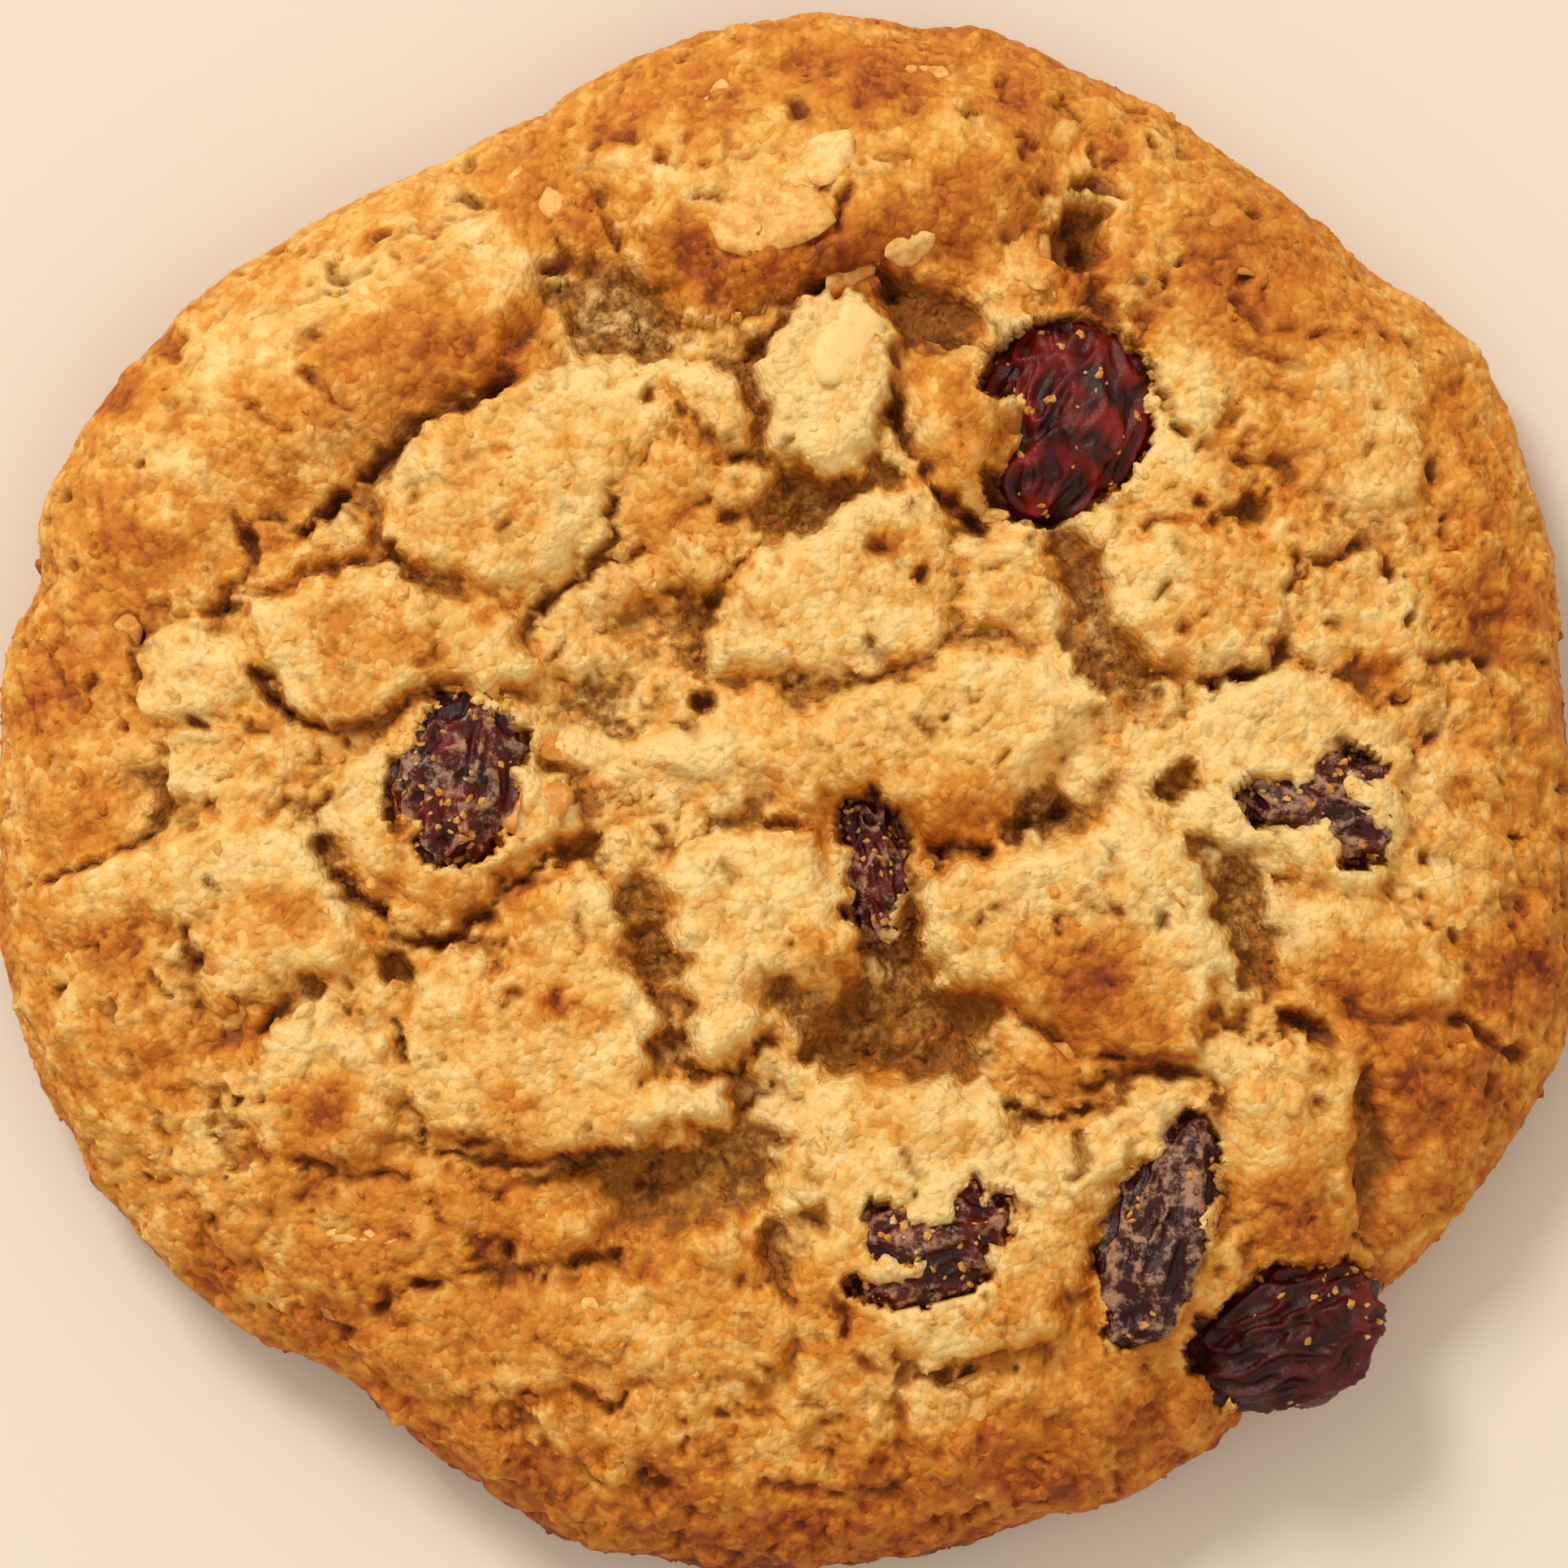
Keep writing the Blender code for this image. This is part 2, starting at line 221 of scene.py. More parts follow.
# Plates of dough: rise, width of the falling edge, then the corners
PLATES = (
    (3.0, 3.8, (-37, 9), (-36, 16), (-31, 21.5), (-24, 26.5), (-17, 30), (-12, 30), (-11, 26.5),
     (-12, 21.5), (-14, 19.6), (-17, 17.8), (-19.5, 15.8), (-21, 14), (-24, 12.6), (-27, 12.4), (-28.3, 9),
     (-31, 8.5)),
    (3.3, 2.9, (-11, 29.5), (-9, 32.5), (-3, 35.5), (6, 36), (13, 33.5), (14.5, 30.5), (12.5, 28),
     (10.5, 25.6), (6, 25.2), (4.3, 24.9), (2, 23.8), (-0.5, 22.6), (-3, 21.8), (-5.5, 23.6), (-8.5, 24.6),
     (-8.7, 27)),
    (1.7, 2.6, (16.5, 28.5), (18, 31), (26, 28), (31, 22), (33, 15), (30, 11.6), (27.5, 11.8), (25.2, 13.2),
     (24.5, 16.6), (21, 18), (18.2, 21), (16.2, 24)),
    (1.3, 1.3, (17.8, 18.6), (21.5, 17.6), (23.2, 14.6), (22, 12.8), (18, 12.6), (16.2, 14.6)),
    (3.1, 1.1, (0.2, 22.3), (3, 23.5), (5.6, 21.2), (5.8, 18.5), (4.4, 15.4), (2, 14.4), (-0.6, 15.8),
     (-1.2, 19.5)),
    (3.3, 2.6, (5.9, 19.8), (8.6, 20.6), (10.6, 18.6), (10.8, 14.8), (9.6, 12.2), (7, 13.8), (5.4, 16)),
    (2.3, 1.6, (-4, 6.5), (-2.5, 9.5), (1, 12), (4.5, 14), (7.5, 13.5), (9, 11.5), (8.5, 8), (7.5, 5.2),
     (3, 4.5), (-1, 3.6), (-3.6, 4.4)),
    (2.0, 1.3, (8.8, 11.8), (12.5, 11.4), (14, 9.5), (14.6, 7.2), (12, 7), (9, 6.6), (8.3, 9)),
    (3.0, 2.5, (-8, 0.8), (-6, 2.6), (-3.5, 4.4), (0, 4.2), (5, 4.6), (8, 6.4), (12, 7.2), (14.5, 6),
     (17, 4), (16.8, 2.4), (14.5, 0.2), (13.2, -1.4), (11.5, -2.3), (8, -3.7), (4, -2), (0, -2.4),
     (-3.5, -2.6), (-6, -1.4)),
    (2.1, 1.3, (16, 10.6), (18.5, 12.1), (22.5, 11.7), (24.8, 10.2), (24.8, 7.2), (23.6, 5.3), (21.2, 4.6),
     (18.2, 5.2), (16.2, 7.5)),
    (1.7, 1.2, (25.6, 9.8), (28.5, 11), (30.6, 9), (31, 6), (28.5, 5), (26, 5.8), (24.8, 7)),
    (1.9, 1.4, (20, 4), (22, 4.4), (25, 5.6), (27, 4.6), (29.5, 3), (30.5, 0.5), (30, -2.5), (29.5, -5.5),
     (26.5, -6), (24, -4.5), (21.5, -3), (20.2, -1), (19.6, 1.5)),
    (2.4, 1.7, (-20, 14), (-18.5, 16.5), (-15.5, 18.3), (-10, 20.3), (-6.2, 19.5), (-4.8, 17), (-7.5, 14.4),
     (-8.3, 12), (-10.5, 9.6), (-12.7, 8.3), (-15.5, 8.8), (-18.8, 10.6)),
    (2.7, 1.3, (-26, 8.3), (-22.5, 9.3), (-19, 9.9), (-15.5, 8.5), (-13, 7.4), (-11.8, 5), (-14, 4.2),
     (-17, 4.4), (-19, 3.1), (-21.5, 2.2), (-24, 3), (-25.6, 5)),
    (2.1, 1.0, (-31.5, 6.4), (-29, 7.4), (-26.8, 6), (-26.1, 4.4), (-26.6, 3), (-28.8, 2.4), (-31.2, 2.8)),
    (1.6, 1.0, (-24.2, 11.2), (-21.6, 13.6), (-20.4, 12.5), (-20.2, 10.9), (-22, 10.1), (-25.4, 9.4)),
    (2.3, 2.0, (-20, 2), (-18.5, 3.4), (-14, 4.2), (-12, 3.2), (-12.2, 0.5), (-11, -2.8), (-14, -5.6),
     (-16.4, -8), (-18.4, -7.6), (-21, -5.4), (-22.4, -3.3), (-22.4, -0.5)),
    (2.4, 1.7, (-37.8, -6.2), (-34, -4.3), (-30, -2.3), (-26, -1), (-23.6, -1.8), (-22.6, -4), (-20.6, -7),
     (-19.2, -9), (-20.6, -10.2), (-24, -10.4), (-26, -13), (-28.6, -12), (-29, -8), (-31, -7), (-34, -8),
     (-37.5, -8.4)),
    (3.0, 1.4, (-14.2, -7), (-12, -5), (-10, -4.8), (-8, -6.5), (-7.5, -9.5), (-5.8, -12), (-6.4, -14.7),
     (-4, -15.3), (-2.6, -15), (-2.6, -17), (-6, -18), (-10, -18.7), (-15, -18.5), (-17.8, -17.4),
     (-18.5, -14), (-18.5, -12), (-18, -10), (-16, -8.8), (-14.4, -9)),
    (2.2, 1.6, (-25.8, -13), (-22, -12), (-19.4, -12.6), (-18.9, -15), (-18.5, -18), (-21, -19.3),
     (-24, -19), (-26.5, -17.6), (-26.3, -15.8)),
    (3.1, 1.5, (-4.9, -4), (-2, -2.9), (1.5, -3), (2.8, -5.5), (3.8, -8), (3.9, -9.8), (2.4, -12.3),
     (0.8, -13.6), (-0.5, -12.7), (-1.8, -13.8), (-3.2, -14.7), (-4.5, -13.8), (-4.9, -11), (-5.2, -9),
     (-6.4, -6.8)),
    (3.1, 1.7, (7.3, -5.5), (8.5, -4.2), (11, -3.6), (14, -2.9), (16.5, -1.2), (18.5, -1.6), (20, -4.3),
     (21.5, -6.5), (22, -9.5), (20.6, -11.5), (20.4, -13.6), (17.5, -13.8), (13.5, -13), (11.5, -12.2),
     (9, -10.8), (7.2, -8.5)),
    (1.8, 1.3, (24, -6.2), (27, -5.8), (30, -6.5), (32.5, -7.8), (34, -10), (32.5, -11.6), (28, -11.6),
     (25, -10.8), (23.8, -9)),
    (1.3, 0.8, (8.5, -12.6), (12, -12.8), (14, -14), (20.4, -14.2), (21, -15), (17, -15), (13, -16.4),
     (11, -16), (9, -14.2)),
    (2.1, 1.8, (-0.5, -17.5), (1.2, -15.3), (4.5, -14.2), (7.5, -14.4), (9.5, -15.8), (11.5, -17.2),
     (15.5, -17), (17.4, -17.2), (16.6, -19), (15.5, -22), (15, -25), (13, -27.8), (8, -28.6), (4, -28),
     (1.5, -26.5), (0, -24), (-0.8, -20.5)),
    (2.0, 1.3, (21.8, -16), (23, -14), (25.5, -13.2), (27.8, -15), (28, -18), (28.3, -22), (27, -24.3),
     (24.5, -23.8), (22.5, -22.5), (21.8, -19.5)),
    (1.2, 1.6, (29.2, -15), (31, -12.6), (34.5, -13.4), (37, -14.2), (35, -18), (31.5, -22), (29.2, -21)),
    (1.5, 1.1, (6, -30), (12, -29.4), (18, -30), (17, -32.4), (10, -33.6), (6.4, -33)),
    (1.7, 1.4, (-21.5, -27.6), (-18, -27.2), (-15, -25.2), (-12, -24.9), (-9, -24.2), (-7, -24.6),
     (-5, -22.6), (-1, -24), (1, -27), (0, -29.3), (-5, -30), (-10, -30), (-15, -31), (-19, -30.5)),
    (1.6, 1.2, (-25.5, -21), (-22.5, -20.4), (-18, -20.3), (-16, -22), (-17.4, -24.2), (-20, -25.8),
     (-24, -26), (-27, -23.5)),
    (1.3, 1.0, (-13.5, -20.3), (-10, -19.8), (-8, -21.3), (-9.5, -23.4), (-13, -23.2), (-14.6, -22)),
    (1.2, 1.0, (-10, 9.4), (-5.6, 10.8), (-3.6, 9.5), (-4.2, 8), (-8, 8.2)),
    (2.3, 0.9, (-6, 19.8), (-2.6, 19.6), (-1.3, 17), (-2.6, 15.3), (-5, 16.8)),
    (1.1, 1.5, (-37.8, 3), (-34, 7), (-32.2, 4), (-31.6, 0), (-30.2, -1.4), (-33, -3.4), (-37.5, -4.4)),
    (1.6, 0.9, (-30.2, 1.5), (-28, 2.1), (-24.5, 1.7), (-23, 0), (-24, -0.7), (-28, -0.5), (-30.2, -1.2)),
    (1.5, 1.2, (-35.5, -9), (-31, -7.8), (-29.8, -8.5), (-30, -12), (-32.5, -12.5), (-35.5, -11.5)),
)


def inside_edge(px, py, corners):
    """How far inside a many-sided plate's edge each point is; less than 0 outside it."""
    nearest, inside = np.full(len(px), 1e3), np.zeros(len(px), bool)
    for (ax, ay), (bx, by) in zip(corners, corners[1:] + corners[:1]):
        dx, dy = bx - ax, by - ay
        along = np.clip(((px - ax) * dx + (py - ay) * dy) / (dx * dx + dy * dy), 0.0, 1.0)
        nearest = np.minimum(nearest, np.hypot(px - ax - along * dx, py - ay - along * dy))
        if ay != by:
            inside ^= ((ay > py) != (by > py)) & (px < dx * (py - ay) / dy + ax)
    return np.where(inside, nearest, -nearest)


PLATE_SPREAD = 0.35  # how far each plate's foot reaches past its corners
WIDE_FALL = 2.2  # plates whose edge falls over more than this round off slowly
rise, plate_tone = np.zeros(len(skin)), np.zeros(len(skin))
slackness = np.clip(1.15 + 0.95 * drift(skin, 5.5, 66), 0.45, 2.4)
for number, (top, fall, *corners) in enumerate(PLATES):
    depth = np.clip((inside_edge(wx, wy, corners) + PLATE_SPREAD) / (fall * slackness), 0.0, 1.0)
    middle_x, middle_y = np.mean(corners, axis=0)
    lean_x, lean_y = 0.05 * math.sin(7.1 * number), 0.05 * math.cos(3.3 * number)
    plate = top + lean_x * (x - middle_x) + lean_y * (y - middle_y)
    plate *= 1.0 - (1.0 - depth) ** (1.5 if fall >= WIDE_FALL else 2.4)
    plate_tone = np.where(plate > rise, 0.05 * math.sin(5.7 * number), plate_tone)
    rise = np.maximum(rise, plate)
# Rubble between the plates: lumps about 3 mm across that only rise where no plate covers them
_, rubble_near, rubble_tag = nuggets(skin * [1.0, 1.0, 0.3] + 0.8 * wander + fine, 2.8, 13)
filled = 2.0 * dome(rubble_near / 0.95) * (0.15 + 0.85 * rubble_tag)

# Hollows where the crumb sank or tore: middle x, middle y, half length, half width, turn, depth
HOLLOWS = (
    (-8.5, 22.8, 3.4, 2.2, -24, 1.3), (7.3, 22.8, 2.6, 1.7, -15, 1.1), (14.6, 26.6, 1.4, 1.6, 0, 1.4),
    (15.4, 7.6, 1.6, 5.2, 24, 0.9), (5.4, -7.6, 1.7, 4.4, 10, 2.2), (4.8, -12.4, 5.8, 2.3, -12, 2.2),
    (-4.6, -20.0, 4.8, 2.8, 10, 0.9), (0.5, -23.0, 2.6, 1.4, 60, 0.9), (-6.5, -8.0, 1.6, 2.6, 0, 0.6),
    (22.8, -7.6, 1.2, 3.8, 10, 1.0), (-6.0, 6.6, 4.0, 2.2, 10, 0.6), (0.4, 13.0, 2.6, 1.4, 15, 1.2),
    (28.8, -18.0, 1.2, 4.4, 8, 0.6), (-8.4, 3.6, 2.6, 2.2, 0, 0.7), (-27.4, 0.4, 2.4, 1.0, 0, 0.3),
    (23.0, 12.8, 1.0, 0.8, 0, 1.0), (17.4, 4.8, 1.0, 0.8, 0, 1.0), (-19.0, -9.9, 1.0, 0.8, 0, 1.0),
    (-10.0, -3.7, 1.0, 0.7, -20, 0.9), (19.3, -0.4, 1.0, 0.8, 0, 0.8), (-31.5, -1.0, 1.2, 1.6, 30, 0.6),
    (12.0, -15.3, 2.4, 0.7, -10, 0.6),
)


def oval(px, py, middle_x, middle_y, half_length, half_width, turn):
    """Distance from an oval's middle, where its edge is at 1."""
    angle = math.radians(turn)
    dx, dy = px - middle_x, py - middle_y
    along = (dx * math.cos(angle) + dy * math.sin(angle)) / half_length
    across = (dy * math.cos(angle) - dx * math.sin(angle)) / half_width
    return np.hypot(along, across)


sink = np.zeros(len(skin))
for *place, deep in HOLLOWS:
    sink = np.maximum(sink, deep * smooth_step(1.3, 0.6, oval(wx, wy, *place)))
# A round lump of dough pressed against the largest raisin: its place and its height
BALL = (8.5, 17.7, 3.5, 2.8, 75)
BALL_HEIGHT = 3.6
ball = dome(oval(fx, fy, *BALL))
rise = np.maximum(rise, filled * (1.0 - 0.45 * smooth_step(0.0, 0.5, sink)))
rise = np.maximum(rise, BALL_HEIGHT * ball) * (1.0 - share**7)

# Cracks: half width, depth, then the points they pass through
CRACKS = (
    (0.3, 1.2, (5.4, 20.8), (5.2, 18.6), (5.6, 16.6), (6.8, 14.6)),
    (0.24, 0.8, (5.6, 21.0), (8.2, 21.4), (10.2, 20.6)),
    (0.30, 1.5, (-23.5, 12.0), (-21.5, 14.0), (-19.0, 16.0), (-17.0, 17.7), (-15.0, 18.2), (-13.5, 19.3)),
    (0.34, 1.3, (-26.9, 12.6), (-26.2, 11.4), (-26.2, 10.0), (-28.0, 7.8)),
    (0.2, 0.6, (-26.5, 12.4), (-24.8, 12.6)), (0.18, 0.8, (-26.0, 17.8), (-25.0, 17.2), (-24.0, 16.5)),
    (0.22, 0.9, (-23.4, 19.6), (-22.4, 18.8), (-21.2, 17.6)), (0.16, 0.6, (-21.5, 17.0), (-20.4, 16.1)),
    (0.16, 0.6, (-23.2, 24.2), (-22.0, 23.5), (-20.6, 24.6)), (0.2, 0.7, (-16.2, 28.8), (-15.0, 28.2)),
    (0.2, 0.7, (-20.2, 26.0), (-19.0, 26.8)), (0.26, 0.9, (-9.0, 28.5), (-8.7, 26.9), (-8.0, 26.0)),
    (0.4, 1.2, (-11.6, 25.0), (-10.6, 25.6), (-9.6, 25.0)),
    (0.25, 0.8, (-9.6, 25.0), (-8.0, 24.2), (-6.0, 23.8)),
    (0.2, 0.8, (-6.2, 30.2), (-5.2, 29.6), (-4.8, 31.0)), (0.24, 0.7, (-8.4, 31.4), (-7.0, 30.8)),
    (0.26, 1.3, (-2.0, 20.0), (-0.5, 21.4), (0.5, 22.6)),
    (0.3, 1.5, (1.9, 23.4), (3.0, 24.2), (4.4, 24.9), (5.4, 23.9)),
    (0.25, 0.9, (2.6, 26.6), (2.8, 27.6), (3.4, 28.4)), (0.2, 0.6, (4.0, 29.4), (5.0, 29.9), (6.0, 29.5)),
    (0.2, 0.6, (-4.2, 29.4), (-2.0, 29.9), (0.0, 30.0)),
    (0.2, 0.7, (13.8, 33.9), (14.5, 32.8), (15.2, 31.2), (15.6, 29.6)),
    (0.32, 1.0, (13.0, 28.6), (15.4, 29.4), (16.6, 28.6)),
    (0.4, 1.3, (14.0, 27.8), (14.8, 25.6), (15.4, 23.4), (16.2, 22.0)),
    (0.24, 1.0, (17.8, 20.2), (18.8, 18.4), (19.4, 16.6)),
    (0.2, 0.7, (21.9, 23.6), (22.8, 22.4), (23.2, 21.6)),
    (0.22, 0.6, (22.0, 21.0), (23.6, 20.4), (25.5, 20.0)), (0.2, 0.6, (25.6, 21.6), (27.8, 21.6)),
    (0.26, 1.0, (-8.3, 13.4), (-8.4, 11.0), (-10.0, 9.4), (-12.4, 8.0)),
    (0.36, 1.5, (-26.2, 4.9), (-25.0, 3.8), (-24.0, 2.8)),
    (0.22, 0.9, (-24.0, 2.6), (-22.0, 2.0), (-20.2, 2.5), (-19.2, 3.3)),
    (0.3, 1.0, (-32.4, 7.6), (-31.7, 6.4), (-32.0, 4.6)), (0.22, 0.8, (-11.6, 4.6), (-10.8, 6.2)),
    (0.16, 0.6, (-18.0, 5.0), (-16.4, 5.8)), (0.26, 1.0, (25.2, 10.4), (24.9, 8.6), (23.9, 6.2)),
    (0.34, 1.7, (21.2, 4.5), (22.6, 4.6), (23.6, 5.0)),
    (0.18, 0.7, (25.6, 10.4), (27.0, 10.8), (28.2, 11.3)), (0.18, 0.7, (28.8, 11.2), (29.8, 9.6)),
    (0.36, 1.1, (32.2, 5.6), (33.4, 5.9), (34.8, 5.7)), (0.34, 1.7, (7.6, 13.9), (8.6, 13.0), (9.4, 12.2)),
    (0.18, 0.8, (0.2, 4.2), (1.5, 4.8)), (0.18, 0.7, (2.8, 4.9), (3.6, 4.3)),
    (0.26, 0.9, (-1.5, 15.2), (0.4, 14.2)), (0.34, 1.1, (-4.9, 17.6), (-3.6, 16.4), (-2.2, 15.4)),
    (0.2, 0.8, (-38.0, -5.4), (-36.0, -5.0), (-33.0, -3.9), (-31.0, -3.0)),
    (0.26, 1.3, (-22.8, -3.4), (-22.0, -5.0), (-20.0, -6.6), (-18.6, -8.2), (-16.5, -8.4), (-14.6, -7.0)),
    (0.2, 0.9, (-14.0, -6.4), (-12.4, -4.8), (-10.8, -3.6)),
    (0.3, 1.1, (-29.3, -7.6), (-28.9, -9.0), (-29.0, -10.8)), (0.22, 1.0, (-18.6, -12.8), (-18.5, -14.2)),
    (0.28, 1.0, (-17.8, -16.8), (-17.5, -17.8)),
    (0.3, 1.0, (-17.0, -18.8), (-13.0, -19.2), (-10.0, -18.9), (-7.5, -18.4)),
    (0.22, 0.7, (-20.2, -19.6), (-18.4, -19.8)), (0.26, 1.2, (-6.6, -11.0), (-5.6, -12.0)),
    (0.26, 1.1, (-5.4, -13.4), (-4.6, -14.8)), (0.22, 0.9, (-2.6, -15.0), (-0.8, -13.0)),
    (0.22, 0.9, (-2.4, -16.8), (-0.6, -15.4)), (0.6, 2.4, (12.2, -2.6), (13.2, -2.1)),
    (0.3, 2.0, (7.2, -4.0), (9.8, -3.7)), (0.4, 1.9, (10.8, -3.6), (11.3, -3.3)),
    (0.3, 1.2, (11.0, -16.5), (13.0, -16.9), (15.0, -16.6)),
    (0.34, 1.3, (14.0, -15.6), (17.0, -14.9), (20.0, -14.6), (21.2, -15.4)),
    (0.24, 1.0, (14.4, -17.8), (14.6, -18.8), (14.3, -19.8)), (0.36, 1.3, (24.4, -11.9), (26.0, -12.4)),
    (0.26, 1.2, (31.0, -12.3), (33.4, -12.0), (34.6, -13.0), (36.6, -13.7)),
    (0.22, 0.7, (31.8, -7.3), (33.0, -8.2)),
    (0.2, 0.6, (-33.4, -11.4), (-32.4, -13.4), (-31.2, -16.0), (-30.4, -18.4)),
    (0.26, 0.8, (-31.6, -19.6), (-30.6, -20.2)), (0.2, 0.6, (-30.0, -20.4), (-28.4, -21.4), (-27.6, -22.2)),
    (0.28, 0.9, (-22.6, -26.6), (-21.2, -27.6)), (0.4, 1.5, (-20.0, -26.4), (-18.6, -25.4), (-17.2, -24.9)),
    (0.2, 0.6, (-17.2, -24.9), (-15.0, -24.4), (-12.0, -24.3), (-8.6, -23.9)),
    (0.3, 1.0, (6.4, -29.8), (7.8, -29.6), (9.0, -29.4)), (0.2, 0.8, (2.4, -25.6), (3.2, -27.2)),
    (0.2, 0.6, (3.2, -28.2), (4.8, -29.6)), (0.26, 0.8, (-12.6, -31.4), (-12.2, -31.8)),
    (0.22, 0.7, (-11.6, -32.6), (-10.0, -33.8), (-9.0, -35.0)), (0.36, 0.9, (-7.2, -34.4), (-5.8, -35.2)),
    (0.2, 0.6, (-4.4, -33.6), (-2.8, -33.0)), (0.24, 0.7, (-1.0, -34.8), (2.0, -35.6), (5.4, -35.2)),
    (0.2, 0.7, (-14.8, -32.0), (-12.6, -32.0)), (0.2, 0.6, (-12.0, -27.4), (-10.0, -28.8), (-8.4, -29.2)),
    (0.18, 0.5, (-5.0, -31.4), (-4.6, -33.0)), (0.2, 0.7, (9.2, -20.0), (9.6, -21.2)),
    (0.18, 0.6, (20.2, -17.6), (21.4, -20.4), (22.2, -22.0)),
)


def line_distance(px, py, places):
    """Distance to a line through places."""
    nearest = np.full(len(px), 1e3)
    for (ax, ay), (bx, by) in zip(places, places[1:]):
        length = (bx - ax) ** 2 + (by - ay) ** 2
        along = np.clip(((px - ax) * (bx - ax) + (py - ay) * (by - ay)) / length, 0.0, 1.0)
        off_x, off_y = px - ax - along * (bx - ax), py - ay - along * (by - ay)
        nearest = np.minimum(nearest, np.hypot(off_x, off_y))
    return nearest


opening = np.clip(0.9 + 0.75 * drift(skin, 1.6, 51) + 0.4 * drift(skin, 0.8, 52), 0.15, 1.7)
split, gap = np.zeros(len(skin)), np.zeros(len(skin))
for half_width, deep, *places in CRACKS:
    away = line_distance(fx, fy, places) / (half_width * opening)
    split = np.maximum(split, deep * np.clip(opening, 0.3, 1.0) * np.exp(-away**2))
    # The crack's colour darkens: partly the darker crumb inside it, partly painted shade
    darkness = min(0.85, 0.16 + 0.44 * deep) * np.clip(opening, 0.3, 1.0)
    gap = np.maximum(gap, darkness * np.exp(-(0.95 * away) ** 2))

# Pits left by bubbles and lost crumbs: x, y, radius
PITS = (
    (-23.0, 21.4, 0.35), (-31.2, 15.1, 0.3), (0.8, 32.3, 0.6), (11.7, 29.9, 0.4), (15.6, 29.2, 0.5),
    (18.1, 31.3, 0.3), (14.2, 27.4, 0.7), (22.5, 24.5, 0.4), (17.5, 24.0, 0.35), (18.6, 24.2, 0.3),
    (19.6, 25.2, 0.3), (32.0, 15.0, 0.5), (22.5, 15.2, 0.4), (20.4, 13.1, 0.35), (26.9, 7.2, 0.4),
    (30.1, 3.5, 0.35), (30.6, 7.6, 0.35), (31.8, 1.8, 0.4), (30.8, 0.7, 0.3), (-6.5, 18.5, 0.35),
    (-13.6, 12.0, 0.35), (-18.9, 10.5, 0.3), (-12.4, 7.4, 0.4), (-3.6, 8.4, 0.35), (-4.0, 3.4, 0.6),
    (-32.4, 2.4, 0.35), (-28.4, 2.3, 0.35), (-26.6, -15.9, 0.3), (-25.4, -15.7, 0.28), (-28.0, -21.8, 0.4),
    (-6.5, -20.4, 0.4), (-7.2, -20.1, 0.3), (-13.4, -23.4, 0.4), (-8.2, -23.7, 0.35), (-11.6, -24.7, 0.3),
    (-12.2, -31.5, 0.35), (12.0, 11.3, 0.4), (4.6, 10.8, 0.5), (6.8, 9.5, 0.4), (9.6, -7.5, 0.32),
    (10.4, -6.8, 0.28), (16.0, -6.9, 0.3), (18.3, -7.3, 0.35), (-2.6, 12.4, 0.4), (27.2, 1.5, 0.4),
    (22.4, -10.6, 0.4), (24.0, -3.0, 0.3), (3.0, -27.2, 0.35), (6.2, -20.8, 0.3),
)
for middle_x, middle_y, radius in PITS:
    hole = np.exp(-((np.hypot(fx - middle_x, fy - middle_y) / radius) ** 3))
    split = np.maximum(split, (0.4 + 0.9 * radius) * hole)
    # Pits are darkened with painted shade
    gap = np.maximum(gap, 0.75 * hole)

# Countless smaller nicks: some are round pores and some short tears
NICKS = 430
LONGEST_NICK = 0.9
NICK_REACH = 2.5  # mm round a nick where it can still change the skin
chooser = np.random.default_rng(11)
nickable = np.flatnonzero(on_top > 0.35)
chance = 0.15 + smooth_step(-0.1, 0.5, drift(skin[nickable], 7.0, 63))
for point in chooser.choice(nickable, NICKS, p=chance / chance.sum()):
    angle = chooser.uniform(0.0, math.pi)
    length = min(LONGEST_NICK, max(0.0, chooser.normal(0.2, 0.5)))
    step_x, step_y = 0.6 * length * math.cos(angle), 0.6 * length * math.sin(angle)
    near = np.flatnonzero((np.abs(x - x[point]) < NICK_REACH) & (np.abs(y - y[point]) < NICK_REACH))
    ends = ((x[point] - step_x, y[point] - step_y), (x[point] + step_x + 1e-3, y[point] + step_y))
    away = line_distance(fx[near], fy[near], ends) / chooser.uniform(0.12, 0.27)
    deep = chooser.uniform(0.25, 0.7)
    split[near] = np.maximum(split[near], deep * np.exp(-away**2))
    # Nicks are darkened with painted shade
    gap[near] = np.maximum(gap[near], (0.1 + 0.65 * deep) * np.exp(-(0.8 * away) ** 2))

# Lumps within lumps, in three sizes
bumps = skin + wander * 0.8 + fine
chunk_edge, _, chunk_tag = nuggets(bumps, 3.7, 3)
_, lump_near, lump_tag = nuggets(bumps, 1.9, 6)
_, crumb_near, crumb_tag = nuggets(skin + fine * 1.3, 1.05, 9)
on_plate = smooth_step(0.5, 1.8, rise)
bearing = np.degrees(np.arctan2(y, x))


def towards(middle, spread):
    """1 at a bearing, fading to either side of it."""
    return np.exp(-(((bearing - middle + 180.0) % 360.0 - 180.0) / spread) ** 2)


# Where the skin set smooth before it could crumble: middle x, middle y, half length, half width, turn
SMOOTHER = ((5.5, 2.8, 11.0, 4.0, 10), (-21.0, 22.0, 14.0, 7.0, 38), (3.5, 30.0, 13.0, 5.5, 0),
            (22.0, 24.5, 7.0, 5.5, -40))
calm = smooth_step(0.60, 0.80, share) * (0.3 + 0.6 * towards(115, 80))
rough = np.clip(0.9 - 0.65 * on_plate + 0.4 * drift(skin, 7.0, 61), 0.12, 1.15) * (1.0 - 0.75 * calm)
rough = np.maximum(rough, smooth_step(0.1, 0.5, sink)) * (1.0 - 0.8 * smooth_step(0.0, 0.5, ball))
for place in SMOOTHER:
    rough *= 1.0 - 0.55 * smooth_step(1.2, 0.7, oval(x, y, *place))
